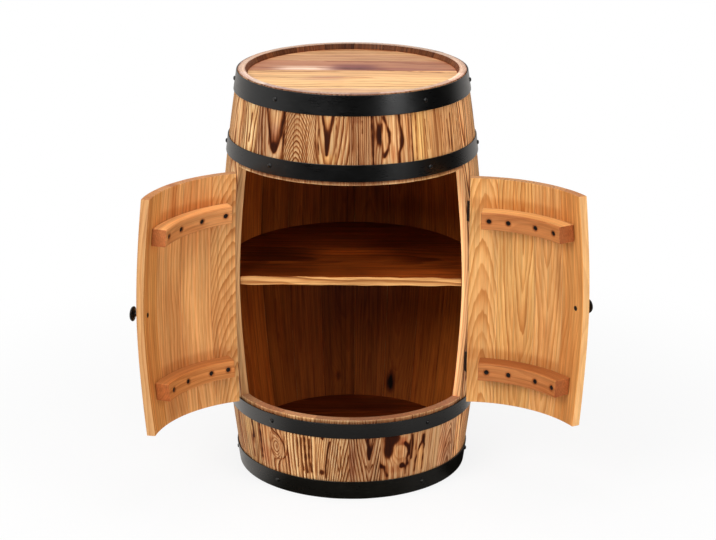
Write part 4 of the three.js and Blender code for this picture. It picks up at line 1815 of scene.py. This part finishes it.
@dataclass
class Batten(Fitting):
    """A curved batten inside a door, with a countersunk pocket for each screw.

    Attributes:
        stand_off: Distance of its ends from the meeting line and from the jamb.
        screw_shares: Places of the screws along it, from the free edge.
        rise: How much higher its end at the jamb stands.
        depth: How far it stands off the door.
        front: Painted light and shade: what the colour of its show face and ends is multiplied by.
        seat: How far it reaches into the door's inner face.
        pocket_field: Half the side of the square of mesh round a pocket.
    """

    stand_off: Pair
    heights: Pair
    figure: Figure
    screw_shares: tuple[float, ...]
    rise: float
    depth: float
    front: Colour
    seat: float = 0.9 * MM
    pocket_radius: float = 4.7 * MM
    pocket_depth: float = 3.2 * MM
    pocket_field: float = 7.6 * MM
    arris: float = 1.6 * MM

    def build(self) -> None:
        """Makes the batten and its screws.

        Along the board becomes the angle, across it the height, and the depth runs from the
        room side out to the door's inner face.
        """
        shape = self.shape
        first = self.stand_off[0] / shape.belly_radius
        last = shape.opening_angle - self.stand_off[1] / shape.belly_radius
        middle_angle = self.hand * (first + last) / 2
        middle_height = sum(self.heights) / 2
        face_radius = float(shape.inner(middle_height)) - self.depth
        length = (last - first) * face_radius
        marks = [self.hand * (share - 0.5) * length for share in self.screw_shares]
        block = self._pocketed(length, marks)

        def bent(board: Array) -> Array:
            """Board coordinates bent to the door's inner face and swung open.

            Args:
                board: The points on the board.

            Returns:
                The points in the frame.
            """
            up, depth, along = board.T
            level = middle_height + up + self.rise * (0.5 + self.hand * along / length)
            radius = shape.inner(level) - self.seat - self.depth + depth
            return self.swing(shape.place(radius, middle_angle + along / face_radius, level))

        up, depth, along = block.points.T
        attributes = self.figure.attributes(block.points)
        # Painted light and shade on the show face and the ends.
        shown = (depth < 3 * MM) | (np.abs(along) > length / 2 - 0.5 * MM)
        attributes["tone"][shown] *= self.front
        # Painted shade in and round each screw pocket, carried on the scorch attribute.
        away = np.hypot(up, np.abs(along[:, None] - marks).min(1))
        pocket_shade = np.clip(1.3 - away / (self.pocket_radius * 1.5), 0, 1)
        attributes["scorch"] = np.clip(attributes["scorch"] + pocket_shade, 0, 1.2)
        finishes = {None: BATTEN, Side.LOW_END: BATTEN_END, Side.HIGH_END: BATTEN_END}
        make_piece(
            f"{self.node}_wood", block.moved(bent), finishes,
            self.body, self.node, attributes,
        )
        head = screw_head(4.3 * MM, 2.4 * MM, 2.5 * MM, 0.55 * MM)
        heads = [
            laid(head, 0, 1.2 * MM, mark, 0.7 * place + self.figure.seed).moved(bent)
            for place, mark in enumerate(marks)
        ]
        steel = {None: SCREW_STEEL}
        make_piece(f"{self.node}_screws", joined(heads), steel, self.body)

    def _pocketed(self, length: float, marks: Sequence[float]) -> Shell:
        """The batten in board coordinates, with a pocket sunk into its show face at each mark.

        In the square field round a mark, the corners that lie on one nested square move to
        one circle, and the circles follow the pocket's profile of radius and depth.

        Args:
            length: Length of the batten.
            marks: Places of the pockets along it.

        Returns:
            The closed surface.
        """
        squares = np.linspace(-1, 1, 13) * self.pocket_field
        clear = self.pocket_field * 1.02
        along = stations(length, 5 * MM, self.arris)
        for mark in marks:
            along = along[np.abs(along - mark) > clear]
        along = np.unique(np.concatenate([along, *(mark + squares for mark in marks)]).round(7))
        across = stations(self.heights[1] - self.heights[0], 5 * MM, self.arris)
        across = np.unique(np.concatenate([across[np.abs(across) > clear], squares]).round(7))
        block = rounded_block(across, stations(self.depth, 6 * MM, self.arris), along, self.arris)
        points = block.points.copy()
        rings = np.arange(7) / 6
        radii = np.array([0, 0.42, 0.8, 0.98, 1.0, 1.12, 0]) * self.pocket_radius
        depths = np.array([1, 1, 1, 0.9, 0.12, 0.0, 0]) * self.pocket_depth
        for mark in marks:
            aside, depth, beyond = block.points.T - [[0], [0], [mark]]
            nested = np.maximum(np.abs(aside), np.abs(beyond)) / self.pocket_field
            inside = (nested < 0.999) & (depth < 1e-6)
            angle = np.arctan2(aside[inside], beyond[inside])
            radius = np.interp(nested[inside], rings, radii)
            points[inside, 0] = radius * np.sin(angle)
            points[inside, 2] = mark + radius * np.cos(angle)
            points[inside, 1] = np.interp(nested[inside], rings, depths)
        return replace(block, points=points)


@dataclass
class Knob(Fitting):
    """A turned knob with the head of its screw inside the door.

    Attributes:
        projection: How far it stands out.
        edge_distance: Distance of its axis from the meeting line.
        outline: Its outline, as shares of the radius and of the projection.
    """

    radius: float = 14 * MM
    projection: float = 18 * MM
    edge_distance: float = 26.5 * MM
    outline: tuple[Pair, ...] = (
        (0.5, 0.0), (0.5, 0.08), (0.38, 0.18), (0.36, 0.46), (0.58, 0.58), (0.95, 0.68),
        (1.0, 0.78), (0.88, 0.91), (0.52, 0.985),
    )

    def build(self) -> None:
        """Makes the knob and its screw head."""
        low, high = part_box(self.node)
        height = (low.z + high.z) / 2
        angle = self.hand * math.asin(self.edge_distance / self.shape.belly_radius)
        seat = float(self.shape.outer(height)) - 0.8 * MM
        outline = [(0, 0), *smooth_outline(self.outline, 5), (0.28, 0.995), (0, 1.0)]
        turned = lathe([(max(r, 0) * self.radius, z * self.projection) for r, z in outline], 40)
        head = screw_head(4.8 * MM, 1.6 * MM, 2.8 * MM, 0.5 * MM)
        sunk = float(self.shape.inner(height)) - seat - 0.9 * MM
        back = replace(head, points=head.points * [1, -1, -1] + [0, 0, sunk])
        shell = joined([turned, back]).moved(
            lambda points: self.swing(self.shape.studded(points, angle, seat, height))
        )
        black = {None: KNOB_BLACK}
        make_piece(f"{self.node}_turned", shell, black, self.body, self.node)


@dataclass
class Hinge(Fitting):
    """A narrow butt hinge, with one plate on the jamb and one on the door's edge.

    Attributes:
        reach: Distance from the axis to the inner edge of a plate.
        shown: Place of the plates' shown faces beside the axis, on the jamb and on the door.
        pin_overhang: How far the pin stands out of the knuckles.
    """

    reach: float = 7.5 * MM
    plate: float = 1.2 * MM
    shown: Pair = (1.6 * MM, -0.15 * MM)
    knuckle_radius: float = 3.3 * MM
    knuckle_gap: float = 0.3 * MM
    pin_radius: float = 1.5 * MM
    pin_overhang: float = 0.6 * MM

    def build(self) -> None:
        """Makes the two leaves, the jamb's with the outer knuckles and the door's with the pin."""
        low, high = (corner.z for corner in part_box(f"{self.node}_frame_leaf"))
        third, half_gap = (high - low) / 3, self.knuckle_gap / 2
        joints = (low + third, high - third)
        lower = self._roll(self.knuckle_radius, low, joints[0] - half_gap)
        middle = self._roll(self.knuckle_radius, joints[0] + half_gap, joints[1] - half_gap)
        upper = self._roll(self.knuckle_radius, joints[1] + half_gap, high)
        pin = self._roll(self.pin_radius, low - self.pin_overhang, high + self.pin_overhang)
        steel = {None: HINGE_STEEL}
        for leaf, body, side, parts, swing in (
            ("frame_leaf", "barrel", -1, (lower, upper), stay),
            ("door_leaf", self.body, 1, (middle, pin), self.swing),
        ):
            node = f"{self.node}_{leaf}"
            shell = joined([*self._plate(side, low, high), *parts]).moved(swing)
            make_piece(f"{node}_steel", shell, steel, body, node)

    def _roll(self, radius: float, start: float, end: float) -> Shell:
        """A turned length of the given radius about the hinge axis.

        Args:
            radius: Its radius.
            start: Height of its foot.
            end: Height of its top.

        Returns:
            The closed surface.
        """
        ease = 0.3 * MM
        outline = [
            (0, start), (radius - ease, start), (radius, start + ease),
            (radius, end - ease), (radius - ease, end), (0, end),
        ]
        return lathe(outline, 24).moved(lambda points: points + [*self.swing.pivot, 0])

    def _plate(self, side: int, low: float, high: float) -> list[Shell]:
        """A plate and its three screw heads.

        Across the board is the height, the depth runs from the shown face into the wood, and
        along it runs from the axis towards the inside of the barrel.

        Args:
            side: -1 for the jamb's plate and 1 for the door's.
            low: Height of its lower end.
            high: Height of its upper end.

        Returns:
            The surfaces in space, with the door closed.
        """
        arris = 0.3 * MM
        angle = self.hand * self.shape.opening_angle
        shown = self.shown[0] if side < 0 else self.shown[1]
        block = rounded_block(
            stations(high - low, 4 * MM, arris),
            stations(self.plate, self.plate, arris),
            stations(self.reach, 3 * MM, arris),
            arris,
        )
        head = screw_head(1.7 * MM, 1.0 * MM, 1.0 * MM, 0.25 * MM)
        places = [share * (high - low) for share in (-0.36, 0.0, 0.36)]
        heads = [laid(head, place, 0.05 * MM, 0.2 * self.reach) for place in places]

        def set_in(board: Array) -> Array:
            """Board coordinates set on the plane of the opening's edge.

            Args:
                board: The points on the board.

            Returns:
                The points in the frame.
            """
            across, depth, along = board.T
            aside = -self.hand * side * (shown + depth)
            inward = along + self.reach / 2
            east = self.swing.pivot[0] + aside * math.cos(angle) - inward * math.sin(angle)
            north = self.swing.pivot[1] + aside * math.sin(angle) + inward * math.cos(angle)
            return np.stack([east, north, (low + high) / 2 - side * self.hand * across], -1)

        return [shell.moved(set_in) for shell in (block, *heads)]


@dataclass
class Door:
    """One door: four staves, two battens, a knob and two hinges, swung open.

    Attributes:
        hand: -1 for the left door and 1 for the right one.
        joints: Angles of the stave joints, from the meeting line to the jamb.
        stand_off: Distance of the battens' ends from the meeting line and from the jamb.
        raised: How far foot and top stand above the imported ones, as in the picture.
    """

    name: str
    hand: int
    shape: BarrelShape
    swing: Swing
    joints: tuple[float, ...]
    stand_off: Pair
    figures: tuple[Figure, ...]
    raised: Pair
    meeting_gap: float = 1.8 * MM
    hinge_gap: float = 1.0 * MM

    FINISHES = {
        None: BURNT_STAVE,
        Side.BACK: PLANED_DOOR,
        Side.LOW_EDGE: SAWN_EDGE,
        Side.HIGH_EDGE: SAWN_EDGE,
        Side.LOW_END: DOOR_END,
        Side.HIGH_END: DOOR_END,
    }
    # The battens' screws as shares of the length, rise at the jamb, distance off the door, and
    # what the colours of the whole and then of the front are multiplied by; the front's factor
    # is painted light and shade between the show face and the other faces.
    BATTENS = {
        (-1, 0): ((0.113, 0.385, 0.717, 0.925), 0, 28 * MM, (0.72, 0.59, 0.53), (1.12, 1.1, 0.98)),
        (-1, 1): ((0.083, 0.32, 0.631, 0.925), 7 * MM, 28 * MM, (1.2, 1.35, 1.55), (0.77, 0.64, 0.56)),
        (1, 0): ((0.063, 0.312, 0.652, 0.905), 0, 34 * MM, (0.52, 0.39, 0.33), (1.36, 1.45, 1.5)),
        (1, 1): ((0.105, 0.364, 0.695, 0.913), 0, 34 * MM, (1.02, 1.16, 1.25), (0.7, 0.49, 0.4)),
    }
    # Dark bands on the inner face beside the battens, on all staves but the first.
    SHADES = tuple(Stain(0, z, 150, 12, (0.86, 0.76, 0.68), (8, 99)) for z in (274, 577))

    def build(self) -> None:
        """Makes the door's pieces."""
        body = f"door_{self.name}"
        low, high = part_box(f"{body}_stave_1")
        half_gap = self.shape.joint_gap / 2
        last = len(self.joints) - 2
        for place, (near, far) in enumerate(zip(self.joints, self.joints[1:])):
            angles = (near, far)
            gaps = (half_gap if place else self.meeting_gap, self.hinge_gap if place == last else half_gap)
            if self.hand < 0:
                angles, gaps = (-far, -near), gaps[::-1]
            Stave(
                f"{body}_stave_{place + 1}", body, "door_stave_wood", self.shape, angles,
                (low.z + self.raised[0], high.z + self.raised[1]),
                self.figures[place].marked(*(self.SHADES if place else ())),
                self.FINISHES,
                gaps=gaps,
                swing=self.swing,
                inset=0.9 * MM,
                arris=0.6 * MM,
                across_step=2.2 * MM,
                along_step=3.6 * MM,
            ).build()
        door = (body, self.shape, self.swing, self.hand)
        for place, row in enumerate(("lower", "upper")):
            node = f"{body}_batten_{row}"
            screws, rise, depth, tone, front = self.BATTENS[self.hand, place]
            low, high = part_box(node)
            # edge_scorch darkens the batten's upper and lower arrises: painted shade of the dark line
            # round it.
            grain = sawn(
                300 + 10 * place + self.hand, (20 - 30 * place, 50), 0.03, 4, 0.5, tone, edge_scorch=0.45
            )
            heights = (low.z, high.z + 3.5 * MM)
            Batten(
                node, *door, self.stand_off, heights, grain, screws, rise, depth, front
            ).build()
        Knob(f"{body}_knob", *door).build()
        for row in ("lower", "upper"):
            Hinge(f"hinge_{self.name}_{row}", *door).build()


# Stage


@dataclass(frozen=True)
class PhotoCamera:
    """The camera that looks at the barrel as the picture does.

    Attributes:
        distance: Distance from the aim, which is on the barrel's axis.
        azimuth: Angle round the barrel from its front, towards +X.
        aim: Height of the aim.
        pan: Turn of the view to the right.
        tilt: Turn of the view upwards.
        focal_pixels: Focal length in pixels of the picture.
    """

    shape: BarrelShape
    distance: float = 4.2287
    elevation: float = 18.422 * DEGREE
    azimuth: float = 1.197 * DEGREE
    aim: float = 0.4
    pan: float = 0.158 * DEGREE
    tilt: float = -0.111 * DEGREE
    roll: float = 0.12 * DEGREE
    focal_pixels: float = 2149.0
    sensor_width: float = 36.0

    def build(self) -> None:
        """Makes the camera and sets it as the scene's."""
        up = Vector((0, 0, 1))
        flat = Vector((math.sin(self.azimuth), -math.cos(self.azimuth), 0))
        back = flat * math.cos(self.elevation) + up * math.sin(self.elevation)
        right = up.cross(back).normalized()
        forward = (
            -back * math.cos(self.pan) * math.cos(self.tilt)
            + right * math.sin(self.pan) * math.cos(self.tilt)
            + back.cross(right) * math.sin(self.tilt)
        )
        level = forward.cross(up).normalized()
        above = level.cross(forward)
        right = level * math.cos(self.roll) + above * math.sin(self.roll)
        above = above * math.cos(self.roll) - level * math.sin(self.roll)
        data = bpy.data.cameras.new("photo_camera")
        data.sensor_width = self.sensor_width
        data.lens = self.focal_pixels / IMAGE_WIDTH * self.sensor_width
        data.clip_end = 60
        camera = bpy.data.objects.new("photo_camera", data)
        turn = Matrix((right, above, -forward)).transposed()
        place = Vector((*self.shape.axis, self.aim)) + back * self.distance
        camera.matrix_world = Matrix.Translation(place) @ turn.to_4x4()
        bpy.context.scene.collection.objects.link(camera)
        bpy.context.scene.camera = camera


@dataclass(frozen=True)
class Softbox:
    """A rectangular lamp that points at the barrel's middle."""

    name: str
    place: Triple
    size: Pair
    power: float
    aim: Triple = (0, 0, 0.4)

    def build(self) -> None:
        """Makes the lamp."""
        data = bpy.data.lights.new(self.name, "AREA")
        data.shape = "RECTANGLE"
        data.size, data.size_y = self.size
        data.energy = self.power
        lamp = bpy.data.objects.new(self.name, data)
        lamp.location = self.place
        towards = Vector(self.aim) - Vector(self.place)
        lamp.rotation_euler = towards.to_track_quat("-Z", "Y").to_euler()
        bpy.context.scene.collection.objects.link(lamp)


@dataclass
class Studio:
    """A plain white studio: floor, sky and soft lamps.

    Attributes:
        ambient: Strength of the even light from the sky.
        shadow_share: How much of the floor's real shading the picture keeps near the barrel.
    """

    ambient: float = 0.22
    floor_half: float = 9.0
    shadow_share: float = 0.16
    softboxes: tuple[Softbox, ...] = (
        Softbox("key_softbox", (-1.7, -2.5, 2.4), (1.8, 1.4), 66),
        Softbox("fill_softbox", (2.0, -2.2, 1.7), (1.2, 1.6), 28),
        Softbox("top_softbox", (0.0, -0.3, 3.0), (2.0, 2.0), 42),
    )

    def build(self) -> None:
        """Makes the floor, the sky and the lamps."""
        self._floor()
        self._sky()
        for softbox in self.softboxes:
            softbox.build()
        bpy.context.scene.view_settings.view_transform = "Standard"

    def _floor(self) -> None:
        """A pale floor that shows the shadow near the barrel and plain white far from it."""
        half = self.floor_half
        mesh = bpy.data.meshes.new("studio_floor")
        corners = [(-half, -half, 0), (half, -half, 0), (half, half, 0), (-half, half, 0)]
        mesh.from_pydata(corners, [], [(0, 1, 2, 3)])
        nodes = Nodes(bpy.data.materials.new("studio_floor"))
        place = nodes.add("ShaderNodeTexCoord", output="Object")
        distance = nodes.add("ShaderNodeVectorMath", {"operation": "LENGTH"}, {0: place}, "Value")
        near = 1 - nodes.step(distance, 0.5, 1.3)
        seen = nodes.add("ShaderNodeLightPath", output="Is Camera Ray")
        white = nodes.add("ShaderNodeEmission", {}, {"Color": (1, 1, 1), "Strength": 1.0})
        matt = nodes.principled(Base_Color=(0.9, 0.9, 0.9), Roughness=0.9, Specular_IOR_Level=0.0)
        shown = nodes.either(seen * (1 - near * self.shadow_share), matt, white)
        heading = nodes.add("ShaderNodeVectorMath", {"operation": "NORMALIZE"}, {0: place})
        # In sheens the floor glows: a painted reflection, brightest in a ring round the barrel.
        far_sheen = 0.55 - nodes.step(distance, 0.6, 1.1) * 0.5
        sheen = self._mirrored(nodes, heading) + nodes.step(distance, 0.24, 0.5) * far_sheen
        mirrored = nodes.add("ShaderNodeEmission", {}, {"Color": (1, 0.95, 0.9), "Strength": sheen})
        glossy = nodes.add("ShaderNodeLightPath", output="Is Glossy Ray")
        mesh.materials.append(nodes.finish(nodes.either(glossy, shown, mirrored)))
        floor = bpy.data.objects.new("studio_floor", mesh)
        bpy.context.scene.collection.objects.link(floor)
        floor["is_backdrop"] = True

    @staticmethod
    def _mirrored(nodes: Nodes, heading: Value) -> Value:
        """What a sheen shows of the studio: white at the back and on the left, dark in front.

        A paler patch stands in front on the right, where the fill lamp is.

        Args:
            nodes: The nodes that the result is for.
            heading: Direction away from the barrel.

        Returns:
            The brightness.
        """
        east, north = (nodes.add("ShaderNodeSeparateXYZ", {}, {0: heading}, axis) for axis in "XY")
        wall = nodes.step(north - east * 0.6, -0.3, 0.3)
        patch = nodes.step(east * 0.72 - north * 0.69, 0.9, 0.995)
        return 0.005 + wall * 0.75 + patch * 0.13

    def _sky(self) -> None:
        """A white backdrop for the camera, a dim even light and what a sheen shows of both."""
        nodes = Nodes(bpy.data.worlds.new("studio_sky"))
        place = nodes.add("ShaderNodeTexCoord", output="Generated")
        seen = nodes.add("ShaderNodeLightPath", output="Is Camera Ray")
        glossy = nodes.add("ShaderNodeLightPath", output="Is Glossy Ray")
        lit = self.ambient * (1 - seen) * (1 - glossy)
        strength = lit + seen + glossy * self._mirrored(nodes, place)
        sky = nodes.add("ShaderNodeBackground", {}, {"Color": (1, 1, 1), "Strength": strength})
        bpy.context.scene.world = nodes.finish(sky, "ShaderNodeOutputWorld")


# The cabinet


def main() -> None:
    """Loads the frame, builds the cabinet on it and sets the stage."""
    logging.basicConfig(level=logging.INFO, format="%(name)s: %(message)s")
    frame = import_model()
    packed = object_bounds()
    lid_low, lid_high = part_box("lid_panel")
    shape = BarrelShape(axis=((lid_low.x + lid_high.x) / 2, (lid_low.y + lid_high.y) / 2))
    PhotoCamera(shape).build()

    wall = StavedWall(shape)
    wall.build()
    floor_figures = tuple(
        replace(chance_figure(140 + place, 0.8, 14, 0), edge_scorch=0.0, tone=(0.3, 0.22, 0.24))
        for place in range(5)
    )
    dark = "dark_inner_wood"
    BoardedPanel(
        "lid_panel", "lid_wood", shape, (-0.126, -0.045, 0.016, 0.098, 0.148), LID_FIGURES, LID_BOARD,
        raised=2 * MM,
    ).build()
    BoardedPanel(
        "shelf_board", dark, shape, (-0.02, 0.07, 0.155), SHELF_FIGURES, STAINED_INSIDE,
        front_finish=SHELF_EDGE, wave=1.5 * MM,
    ).build()
    BoardedPanel(
        "floor_panel", dark, shape, (-0.126, -0.042, 0.040, 0.122), floor_figures, STAINED_INSIDE
    ).build()
    for row in ("top", "upper", "lower"):
        Hoop(f"hoop_{row}", shape, HOOP_STEEL).build()
    Hoop("hoop_bottom", shape, LIT_BOTTOM_HOOP_STEEL).build()

    swings = {joint["child"]: Swing.from_joint(joint) for joint in frame["joints"]}
    edges = wall.edges()
    left_joints = tuple(-angle for angle in reversed(edges[:5]))
    Door(
        "left", -1, shape, swings["door_left"], left_joints, (35 * MM, 20 * MM),
        LEFT_DOOR_FIGURES, (0.0, 6 * MM),
    ).build()
    Door(
        "right", 1, shape, swings["door_right"], tuple(edges[4:]), (27 * MM, 28 * MM),
        RIGHT_DOOR_FIGURES, (4 * MM, 1 * MM),
    ).build()
    Studio().build()

    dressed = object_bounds()
    for kind, (low, high) in (("packed", packed), ("dressed", dressed)):
        log.info("%s box %s to %s", kind, tuple(low), tuple(high))


if __name__ == "__main__":
    main()
